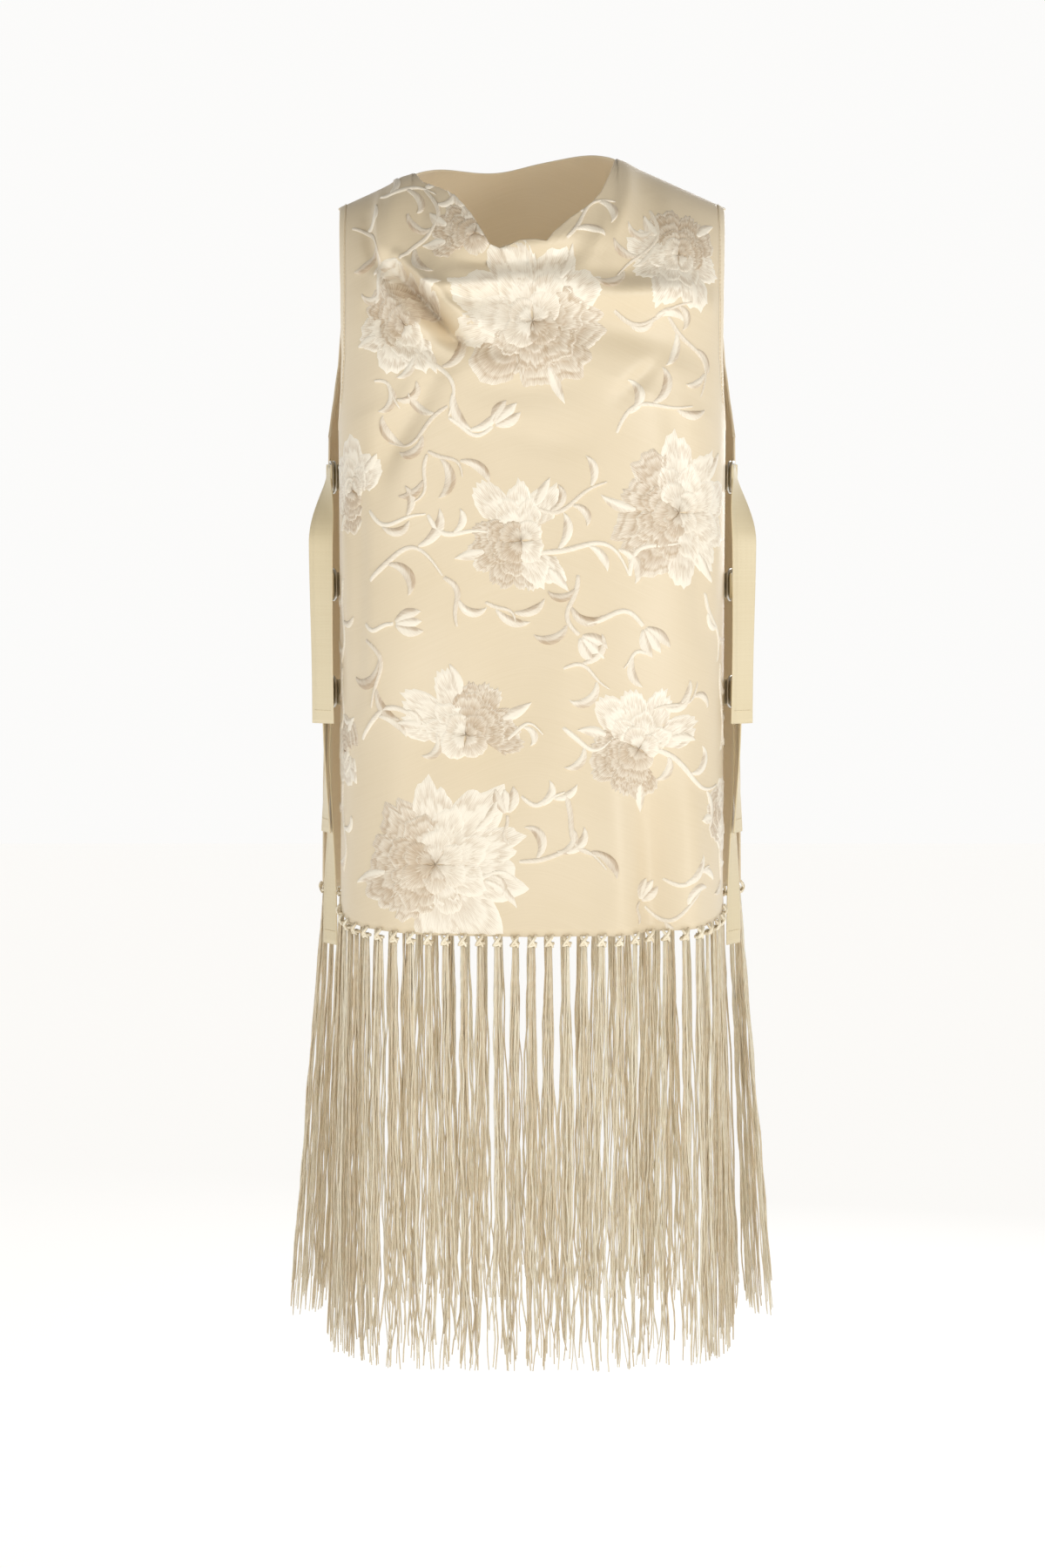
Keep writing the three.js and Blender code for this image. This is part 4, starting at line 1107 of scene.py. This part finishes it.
def make_embroidery(surface, flowers, vines, seed, widen=1.0):
    """All the vines of a panel, and then its flowers over them."""
    work = Embroidery(surface, widen)
    draw = np.random.default_rng(seed)
    for row in vines:
        work.vine(row, draw)
    for row in flowers:
        work.flower(row, draw)
    work.mesh.piece(surface.name + "_embroidery", "stitch", "satin")


class TOP_OT_embroidery(Operator):
    """Satin-stitch flowers, leaves and vines on both panels, mirrored on the back"""

    bl_idname = "object.top_embroidery"
    bl_label = "Embroidery"

    def execute(self, context):
        make_embroidery(FRONT, FRONT_FLOWERS, FRONT_VINES, seed=41)
        flowers, vines = FRONT_FLOWERS.copy(), FRONT_VINES.copy()
        flowers["x"] *= -1
        for column in ("facing", "shaded"):
            flowers[column] = 180 - flowers[column]
        for column in ("x1", "x2", "rise"):
            vines[column] *= -1
        flowers = np.concatenate([flowers, BACK_CENTRE])
        make_embroidery(BACK, flowers, vines, seed=43, widen=BACK_WIDEN)
        return {"FINISHED"}


# ------------------------------------------------------------------ bindings
BINDING_STEPS = 110
BINDING_END = 8
SEAM_SHARE = 0.14
STITCH_RADIUS = 0.28
BINDING_PITCH = 3.0
TAIL_PITCH = 2.6


def stitches(mesh, path, normals, pitch, radius=STITCH_RADIUS):
    """A line of stitches: a short round thread for every pitch of a path, sunk at both ends."""
    lengths = np.linalg.norm(np.diff(path, axis=0), axis=1)
    run = np.concatenate([[0], np.cumsum(lengths)])
    count = int(run[-1] / pitch)
    t = np.linspace(0.12, 0.88, 5)
    spots = (np.arange(count)[:, None] + t[None]) * pitch
    rise = np.sin(np.pi * t) ** 0.5 * radius * 1.2 - radius * 0.5
    centre = np.stack([np.interp(spots, run, path[:, k]) for k in range(3)], -1)
    normal = np.stack([np.interp(spots, run, normals[:, k]) for k in range(3)], -1)
    centre = centre + normal * rise[None, :, None]
    for one, face in zip(centre, normal):
        across, upward = frames(one, face[2])
        thick = radius * np.sin(np.pi * t) ** 0.4
        sweep(mesh, one, across, upward, ellipse(1, 1, 6)[None] * thick[:, None, None])


def binding_path(surface, side, share):
    """Points along an armhole binding, at a share of its width from its inner edge."""
    down = np.linspace(SEAM_GAP, UNDERARM, BINDING_STEPS)
    inner = surface.edge(down, setting("binding_width")) + SEAM_GAP
    outer = np.maximum(surface.value("edge", down), inner + 1)
    return side * (inner + (outer - inner) * share), down


def make_binding(surface, side_name, side):
    """A binding: a flat oval that follows the armhole's edge, as wide as the edge leaves room."""
    mesh = Mesh()
    middle = -CLOTH / 2
    half_wall = setting("binding_wall") / 2
    inner = surface.cloth(*binding_path(surface, side, 0.0), middle)
    outer = surface.cloth(*binding_path(surface, side, 1.0), middle)
    half = np.linalg.norm(outer - inner, axis=1)[:, None, None] / 2
    outline = ellipse(1, 1, 20, 3.2) * np.concatenate([half, np.full_like(half, half_wall)], -1)
    if side * surface.facing > 0:
        outline = outline[:, ::-1]
    face = surface.normal(*binding_path(surface, side, 0.5))
    sweep(mesh, (inner + outer) / 2, unit(outer - inner), face, outline)
    seam = binding_path(surface, side, SEAM_SHARE)
    path, normals = surface.cloth(*seam, middle + half_wall), surface.normal(*seam)
    stitches(mesh, path[:-BINDING_END], normals[:-BINDING_END], BINDING_PITCH)
    name = f"{surface.name}_{side_name}"
    mesh.piece(name + "_binding_cloth", "binding", "binding", "binding_" + name)


class TOP_OT_bindings(Operator):
    """Plain satin bindings round the armholes, with their line of stitches"""

    bl_idname = "object.top_bindings"
    bl_label = "Bindings"

    def execute(self, context):
        for surface in (FRONT, BACK):
            for side_name, side in SIDES:
                make_binding(surface, side_name, side)
        return {"FINISHED"}


# ------------------------------------------------------------------ closures
TAPE_BOW = 3.4
TAPE_BOW_MIDDLE = -3.2
TAPE_GATHER = 0.66
STRAP_UNDER, TAB_UNDER = 18, 17
TAIL_OUTSET = 4.6
TAIL_RISE = 1
TAIL_SWAY, TAIL_SWAYS = 2.2, 5.1
TAIL_WAVE, TAIL_WAVES = 0.35, 4.2
TAIL_SEAM = -4
TAB_LOOP = 3.6
TAB_MOUTH = 0.35
CLOSURE_WIDTH = 142.0
CLOSURE_MIDDLE = 0.52


class Closure:
    """Plan of one closure: a is mm towards the back from the rings' middle, o mm outwards."""

    def __init__(self, row, side_name, side):
        self.row = row
        self.side = side
        self.number = int(row["number"])
        self.name = f"{side_name}_{self.number}"
        binding_width = setting("binding_width")
        self.down = float(down_for_fall(shoulder_line(CLOSURE_WIDTH) - row["z"]))
        self.front_edge = float(FRONT.edge(np.array(self.down), binding_width))
        self.back_edge = float(BACK.edge(np.array(self.down), binding_width))
        front = FRONT.cloth(side * self.front_edge, self.down)
        back = BACK.cloth(side * self.back_edge, self.down)
        self.origin = front + (back - front) * CLOSURE_MIDDLE
        self.backwards = np.array([*unit((back - front)[:2]), 0])
        self.outwards = side * np.array([self.backwards[1], -self.backwards[0], 0])

    def world(self, a, o, z):
        """Points from plan coordinates and a height over the closure's own."""
        a, o, z = (np.asarray(value, float)[..., None] for value in (a, o, z))
        flat = self.origin * np.array([1, 1, 0])
        return flat + self.backwards * a + self.outwards * o + UP * (self.row["z"] + z)

    def plan(self, point):
        """Plan coordinates of points: the inverse of world, less the height."""
        away = point - self.origin
        return np.stack([away @ self.backwards, away @ self.outwards], -1)

    def sewn(self, surface, edge, length_under):
        """The tape's hidden end, under the edge of a panel."""
        back = np.linspace(length_under, 0, 8)
        under = -CLOTH - SEAM_GAP - TAPE_EASE - TAPE_WALL / 2
        down = np.full_like(back, self.down)
        return self.plan(surface.cloth(self.side * (edge - back), down, under))


def rounded_line(points, steps):
    """Smooth plan line through points: Catmull-Rom spline."""
    padded = np.vstack([2 * points[0] - points[1], points, 2 * points[-1] - points[-2]])
    t = np.linspace(0, 1, steps, endpoint=False)[:, None]
    pieces = []
    for k in range(len(points) - 1):
        a, b, c, d = padded[k:k + 4]
        curve = 2 * b + (c - a) * t + (2 * a - 5 * b + 4 * c - d) * t**2
        pieces.append((curve + (3 * b - a - 3 * c + d) * t**3) / 2)
    return np.vstack(pieces + [points[-1:]])


def tape_outline():
    """Cross section of the tape: a flat superellipse."""
    return ellipse(setting("tape_width") / 2, TAPE_WALL / 2, 20, 6)


def band(mesh, closure, line):
    """Tape standing on edge along a plan line."""
    centres = closure.world(line[:, 0], line[:, 1], np.zeros(len(line)))
    up = np.broadcast_to(UP, centres.shape)
    sweep(mesh, centres, up, unit(np.cross(up, np.gradient(centres, axis=0))), tape_outline())


def make_strap(closure):
    """The strap: under the front panel's edge, through the rings, back over them, and its tail."""
    row, width = closure.row, setting("tape_width")
    mesh = Mesh()
    start = closure.sewn(FRONT, closure.front_edge, STRAP_UNDER)
    bow = np.linspace(-np.pi / 2, np.pi / 2, 9)
    turn = np.stack([TAPE_BOW_MIDDLE + TAPE_BOW * np.cos(bow), TAPE_BOW * np.sin(bow)], -1)
    side_name = "right" if closure.side > 0 else "left"
    lead, outset = row[side_name], row[side_name + "_outset"]
    edge = start[-1]
    ahead = np.array([[(edge[0] - 14) / 2, min(edge[1], -3.6) - 0.2], [-12, -4]])
    over = np.array([[-11, 3.8], [lead - 7, 4.4]])
    band(mesh, closure, rounded_line(np.vstack([start, ahead, turn, over]), 5))
    # the tail, which eases outwards, sways and twists on its way down
    t = np.linspace(0, 1, 60)
    ease = smooth_step(t, 0, 0.3)
    out = TAIL_OUTSET + (outset - TAIL_OUTSET) * ease + row["bow"] * np.sin(np.pi * t)
    a = lead + row["swing"] * ease + TAIL_SWAY * np.sin(TAIL_SWAYS * t + row["number"])
    wave = TAIL_WAVE * np.sin(TAIL_WAVES * t + 1.3 * row["number"])
    twist = (row["twist"] + wave * (1 - 0.6 * row["twist"])) * ease
    centres = closure.world(a, out, width / 2 - TAIL_RISE - row["tail"] * t)
    across = closure.world(a + np.cos(twist), out + np.sin(twist), 0 * t)
    across = across - closure.world(a, out, 0 * t)
    face = unit(np.cross(across, np.gradient(centres, axis=0)))
    gather = TAPE_GATHER + (1 - TAPE_GATHER) * smooth_step(t, 0, 0.12)
    outline = tape_outline() * np.stack([gather, np.ones_like(gather)], -1)[:, None]
    sweep(mesh, centres, across, face, outline)
    # its turned-up end is sewn down across its width, on both faces
    cross = np.linspace(-0.42, 0.42, 9)[:, None] * width
    for turned in (-1, 1):
        normal = np.broadcast_to(turned * face[TAIL_SEAM], (len(cross), 3))
        seam = centres[TAIL_SEAM] + across[TAIL_SEAM] * cross + normal * TAPE_WALL / 2
        stitches(mesh, seam, normal, TAIL_PITCH)
    mesh.piece("strap_tape_" + closure.name, "tape", "tape", "strap_" + closure.name)


def make_tab(closure):
    """The ring tab: under the back panel's edge and looped round the rings' bars."""
    start = closure.sewn(BACK, closure.back_edge, TAB_UNDER)
    edge = start[-1]
    neck = RING_BAR + TAB_LOOP
    middle = np.array([[(edge[0] + neck) / 2, edge[1] * 0.4], [neck + 3, 0.6], [neck, 0.9]])
    angle = np.linspace(TAB_MOUTH, 2 * np.pi - TAB_MOUTH, 15)
    loop = np.stack([RING_BAR + TAB_LOOP * np.cos(angle), TAB_LOOP * np.sin(angle)], -1)
    back_again = np.array([[neck, -0.9], [neck + 3, -0.7], [neck + 9, -0.9]])
    mesh = Mesh()
    band(mesh, closure, rounded_line(np.vstack([start, middle, loop, back_again]), 4))
    mesh.piece("tab_tape_" + closure.name, "tape", "tape", "tab_" + closure.name)


def make_ring(closure, which, aside, lean):
    """D-ring: straight bar and a squared bow, reach = cos^0.5, height = sin^0.7, as round wire."""
    wire = setting("ring_wire")
    angle = np.linspace(-np.pi / 2, np.pi / 2, 49)
    bar = np.linspace(1, -1, 16)[1:-1]
    reach = np.concatenate([np.abs(np.cos(angle)) ** 0.5 * RING_DEPTH, 0 * bar])
    bow = np.sign(np.sin(angle)) * np.abs(np.sin(angle)) ** 0.7
    height = np.concatenate([bow, bar]) * RING_HALF_HEIGHT
    centres = closure.world(
        RING_BAR - reach * np.cos(lean), aside + reach * np.sin(lean), height
    )
    across = closure.world(-np.sin(lean), -np.cos(lean), 0) - closure.world(0, 0, 0)
    mesh = Mesh()
    sweep_round(mesh, centres, across, ellipse(wire, wire, 12))
    name = f"ring_{closure.name}_{which}"
    mesh.piece("d_" + name, "metal", "ring_metal", name)


class TOP_OT_closures(Operator):
    """Three closures on each side: strap with its tail, ring tab and two D-rings"""

    bl_idname = "object.top_closures"
    bl_label = "Side closures"

    def execute(self, context):
        apart = setting("ring_wire") + SEAM_GAP / 2
        for side_name, side in SIDES:
            for row in CLOSURES:
                closure = Closure(row, side_name, side)
                make_strap(closure)
                make_tab(closure)
                make_ring(closure, "inner", -apart, 0.0)
                make_ring(closure, "outer", apart, 0.02)
        return {"FINISHED"}


# ------------------------------------------------------------------ fringe
YARN_STEPS = 30
YARN_SIDES = 4
END_SCATTER = 32
SPLAY, SPLAY_FROM = 5.5, 0.72
# waves of a yarn from root to tip, in radians, and their size
SIDEWAYS_WAVES = ((2.3, 1.2), (8.0, 0.8), (23.0, 0.55), (47.0, 0.32))
OUTWARD_WAVES = ((3.0, 0.8), (13.0, 0.55), (37.0, 0.34))
LOOP_STEPS = 15
YARN_LENGTH = 320
# half width and half height of the thread in a knot's loops and in its wrap
LOOP_THREAD = (1.15, 0.95)
WRAP_THREAD = (1.2, 0.9)


def tassel_roots(surface):
    """Where the tassels hang, their directions, and how much each swings out: share cubed."""
    tassels = TASSELS[surface.name]
    reach = float(surface.value("edge", LOWEST)) - 1
    along = reach * (-1 + 2 * (np.arange(tassels) + 0.5) / tassels)
    down = surface.hem_down(along) + SEAM_GAP + STRIP_HEIGHT
    root = surface.cloth(along, down, -CLOTH / 2)
    normal = unit(surface.normal(along, down) * np.array([1, 1, 0]))
    tangent = np.stack([-normal[:, 1], normal[:, 0], 0 * along], -1)
    share = along / reach
    return root, tangent, normal, np.sign(share) * np.abs(share) ** 3


def yarn_paths(surface, roots, shape, t, draw):
    """Each yarn's points, t being the share of its length.

    It spreads from its tassel, drifts with it, splays near its tip, and waves all the way:
    the sum of size * sin(waves * t + phase). It ends at its own height.
    """
    root, tangent, normal, swing = roots
    tassels, count = shape
    spot = np.linspace(-1, 1, count)[None] + draw.uniform(-0.15, 0.15, shape)
    deep = draw.uniform(-1, 1, shape)
    spread = draw.uniform(0.8, 1.3, (tassels, 1, 1)) * (1.3 + 3.8 * t**0.9)
    sideways = spot[..., None] * spread + draw.uniform(-1.4, 1.4, shape)[..., None] * t**2
    drift = draw.uniform(-1, 1, (tassels, 1, 1)) * 3.2 * np.sin(1.5 * t) ** 2
    near_tip = np.maximum(0, (t - SPLAY_FROM) / (1 - SPLAY_FROM)) ** 1.6
    splay = draw.uniform(-1, 1, shape)[..., None] * near_tip
    sideways = sideways + drift + SPLAY * splay
    settled = np.minimum(1, 4 * t)
    for waves, size in SIDEWAYS_WAVES:
        phase = draw.uniform(0, 2 * np.pi, shape)[..., None]
        pace = waves * draw.uniform(0.8, 1.2, shape)[..., None]
        sideways += size * np.sin(pace * t + phase) * settled * (0.75 + 0.75 * t)
    outwards = deep[..., None] * (0.8 + 2.6 * t)
    for waves, size in OUTWARD_WAVES:
        phase = draw.uniform(0, 2 * np.pi, shape)[..., None]
        outwards += size * np.sin(waves * t + phase) * settled
    end = FRINGE_END + LIFT[surface.name] * 0.4 * np.abs(swing)[:, None]
    end = end + draw.uniform(0, 1, shape) ** 2 * END_SCATTER
    x, y, z = root.T[..., None, None]
    z = z + (end[..., None] - z) * t
    x = x + FLARE[surface.name] * swing[:, None, None] * t
    path = np.stack(np.broadcast_arrays(x, y, z), -1)
    path = path + tangent[:, None, None] * sideways[..., None]
    return path + normal[:, None, None] * outwards[..., None]


def make_yarns(surface, roots):
    """Tassels under a hem, of round yarns that thin towards their tips: 1 - 0.35 t^8."""
    radius = setting("yarn_radius")
    shape = (TASSELS[surface.name], bpy.context.scene.top_sizes.yarns)
    draw = np.random.default_rng(YARN_SEEDS[surface.name])
    t = np.linspace(0, 1, YARN_STEPS)
    path = yarn_paths(surface, roots, shape, t, draw)
    angle = np.arange(YARN_SIDES) / YARN_SIDES * 2 * np.pi
    thick = radius * draw.uniform(0.75, 1.25, shape)[..., None] * (1 - 0.35 * t**8)
    ring = np.stack([np.cos(angle), np.sin(angle), 0 * angle], -1)
    tubes = path[..., None, :] + ring * thick[..., None, None]
    tubes = tubes.reshape(-1, YARN_STEPS, YARN_SIDES, 3)
    points = YARN_STEPS * YARN_SIDES
    tip = np.arange(points - 1, points - 1 - YARN_SIDES, -1)
    one = grid_quads(YARN_STEPS, YARN_SIDES, wrap_columns=True)
    one = np.vstack([one, np.arange(YARN_SIDES), tip])
    quads = one[None] + (np.arange(len(tubes)) * points)[:, None, None]
    tone = draw.uniform(0.15, 0.95, len(tubes))[:, None, None]
    along = (t * YARN_LENGTH)[None, :, None]
    around = np.arange(YARN_SIDES) * radius * 1.5
    uv = np.stack(np.broadcast_arrays(around, along, tone)[:2], -1)
    mesh = Mesh()
    mesh.add(tubes, quads.reshape(-1, 4), uv, tone)
    mesh.piece(surface.name + "_fringe_yarns", "yarn", "fringe", "fringe_" + surface.name)


def make_knots(surface, roots):
    """Lark's-head knots: two loops over the hem that cross, and a wrap round the yarns."""
    draw = np.random.default_rng(KNOT_SEEDS[surface.name])
    t = np.linspace(0, 1, LOOP_STEPS)
    angle = np.linspace(0, 2 * np.pi, LOOP_STEPS)[:-1]
    mesh = Mesh()
    for place, tangent, normal, _ in zip(*roots):
        axes = np.stack([tangent, normal, UP])
        size = draw.uniform(0.92, 1.1)
        lean = draw.uniform(-0.4, 0.4)
        for turn in (-1, 1):
            side = turn * 2.3 * np.cos(np.pi * t) + lean
            out = 1.6 + 1.9 * np.sin(np.pi * t) + 0.3 * turn
            up = 4.6 - 8.2 * t + 0.4 * turn
            curve = place + size * np.stack([side, out, up], -1) @ axes
            across, face = frames(curve, normal)
            fuller = (0.75 + 0.35 * np.sin(np.pi * t))[:, None, None]
            thick = ellipse(*LOOP_THREAD, 8)[None] * fuller
            sweep(mesh, curve, across, face, thick, draw.uniform(0.4, 0.9))
        wrap = [2.9 * np.cos(angle), 2.5 * np.sin(angle) + 0.2, -2.2 + 0.8 * np.cos(angle + lean)]
        wrap = place + np.stack(wrap, -1) @ axes
        sweep_round(mesh, wrap, UP, ellipse(*WRAP_THREAD, 8), draw.uniform(0.4, 0.9))
    mesh.piece(surface.name + "_fringe_knots", "yarn", "fringe")


class TOP_OT_fringe(Operator):
    """Knots and long yarns under both hems"""

    bl_idname = "object.top_fringe"
    bl_label = "Fringe"

    def execute(self, context):
        for surface in (FRONT, BACK):
            roots = tassel_roots(surface)
            make_yarns(surface, roots)
            make_knots(surface, roots)
        return {"FINISHED"}


class TOP_OT_declare(Operator):
    """Works out each panel's cut width, height and area of cloth, and keeps none of them"""

    bl_idname = "object.top_declare"
    bl_label = "Cut sizes"

    def execute(self, context):
        for surface, kind in ((FRONT, "strap"), (BACK, "tab")):
            width = 2 * float(surface.value("edge", LOWEST)) * MM
            height = float(surface.hem_down(np.array([100.0]))[0]) * MM
            sheet_area(surface, width)
        return {"FINISHED"}


# ------------------------------------------------------------------ stage
CAMERA_PLACE = (-0.007, -2.615, -0.212)
CAMERA_PITCH = 5.14
CAMERA_LENS = 80.0
FLOOR_HEIGHT = -1.35
FLOOR_HALF = 8.0
# each light's place, power in watts and size
LIGHTS = {
    "key": ((1.7, -2.4, -0.1), 22, 0.8),
    "fill": ((-1.6, -2.4, -1.0), 8.5, 1.2),
    "back": ((0.6, 2.4, 0.1), 22, 1.4),
}
LIGHT_TARGET = (0, 0, -0.4)
# the world's colour up to a height, as a share of the sky, and above it
HORIZON, HORIZON_COLOUR = 0.18, (0.97, 0.965, 0.955, 1)
OVERHEAD, OVERHEAD_COLOUR = 0.5, (0.22, 0.2, 0.17, 1)


def area_light(name, place, power, size):
    """A square lamp that faces the middle of the top."""
    light = bpy.data.lights.new(name, "AREA")
    light.energy = power
    light.size = size
    lamp = bpy.data.objects.new(name, light)
    lamp.location = place
    aim = Vector(LIGHT_TARGET) - Vector(place)
    lamp.rotation_euler = aim.to_track_quat("-Z", "Y").to_euler()
    bpy.context.scene.collection.objects.link(lamp)


def studio_world():
    """World that is pale round the horizon and dim overhead."""
    world = bpy.data.worlds.new("studio")
    world.use_nodes = True
    tree = world.node_tree
    place = tree.nodes.new("ShaderNodeTexCoord")
    parts = tree.nodes.new("ShaderNodeSeparateXYZ")
    ramp = tree.nodes.new("ShaderNodeValToRGB")
    stops = ((HORIZON, HORIZON_COLOUR), (OVERHEAD, OVERHEAD_COLOUR))
    for element, (height, colour) in zip(ramp.color_ramp.elements, stops):
        element.position = height
        element.color = colour
    tree.links.new(place.outputs["Generated"], parts.inputs[0])
    tree.links.new(parts.outputs["Z"], ramp.inputs["Fac"])
    tree.links.new(ramp.outputs["Color"], tree.nodes["Background"].inputs["Color"])
    return world


class TOP_OT_stage(Operator):
    """Pale floor and backdrop, soft lights and the camera"""

    bl_idname = "object.top_stage"
    bl_label = "Stage"

    def execute(self, context):
        scene = context.scene
        camera_data = bpy.data.cameras.new("camera")
        camera_data.lens = CAMERA_LENS
        camera_data.sensor_width = 36
        camera_data.clip_end = 50
        camera = bpy.data.objects.new("camera", camera_data)
        camera.location = CAMERA_PLACE
        camera.rotation_euler = (np.radians(90 - CAMERA_PITCH), 0, 0)
        scene.collection.objects.link(camera)
        scene.camera = camera
        span = np.array([-FLOOR_HALF, FLOOR_HALF]) / MM
        x, y = np.meshgrid(span, span[::-1])
        floor = Mesh()
        floor.add(np.stack([x, y, np.full_like(x, FLOOR_HEIGHT / MM)], -1), grid_quads(2, 2))
        sheet = floor.show("floor", stage_floor("stage_floor"))
        scene.world = studio_world()
        for name, (place, power, size) in LIGHTS.items():
            area_light(name, place, power, size)
        scene.view_settings.view_transform = "Standard"
        return {"FINISHED"}


# ------------------------------------------------------------------ add-on
class TOP_PT_sidebar(Panel):
    """Sizes, colours and steps of the satin top"""

    bl_idname = "TOP_PT_sidebar"
    bl_label = "Satin Top"
    bl_space_type = "VIEW_3D"
    bl_region_type = "UI"
    bl_category = "Satin Top"

    def draw(self, context):
        for group in (context.scene.top_sizes, context.scene.top_colours):
            box = self.layout.box()
            for key in group.__annotations__:
                box.prop(group, key)
        for step in STEPS:
            self.layout.operator(step.bl_idname)


STEPS = (
    TOP_OT_stage,
    TOP_OT_panels,
    TOP_OT_embroidery,
    TOP_OT_bindings,
    TOP_OT_closures,
    TOP_OT_fringe,
    TOP_OT_declare,
)
GROUPS = (("top_sizes", TopSizes), ("top_colours", TopColours))


def register():
    for name, group in GROUPS:
        bpy.utils.register_class(group)
        setattr(bpy.types.Scene, name, PointerProperty(type=group))
    for kind in (*STEPS, TOP_PT_sidebar):
        bpy.utils.register_class(kind)


def unregister():
    for kind in reversed((*STEPS, TOP_PT_sidebar)):
        bpy.utils.unregister_class(kind)
    for name, group in reversed(GROUPS):
        delattr(bpy.types.Scene, name)
        bpy.utils.unregister_class(group)


def main():
    """Registers the add-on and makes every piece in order."""
    register()
    for step in STEPS:
        group, call = step.bl_idname.split(".")
        getattr(getattr(bpy.ops, group), call)()
    bpy.context.view_layer.update()


if __name__ == "__main__":
    main()
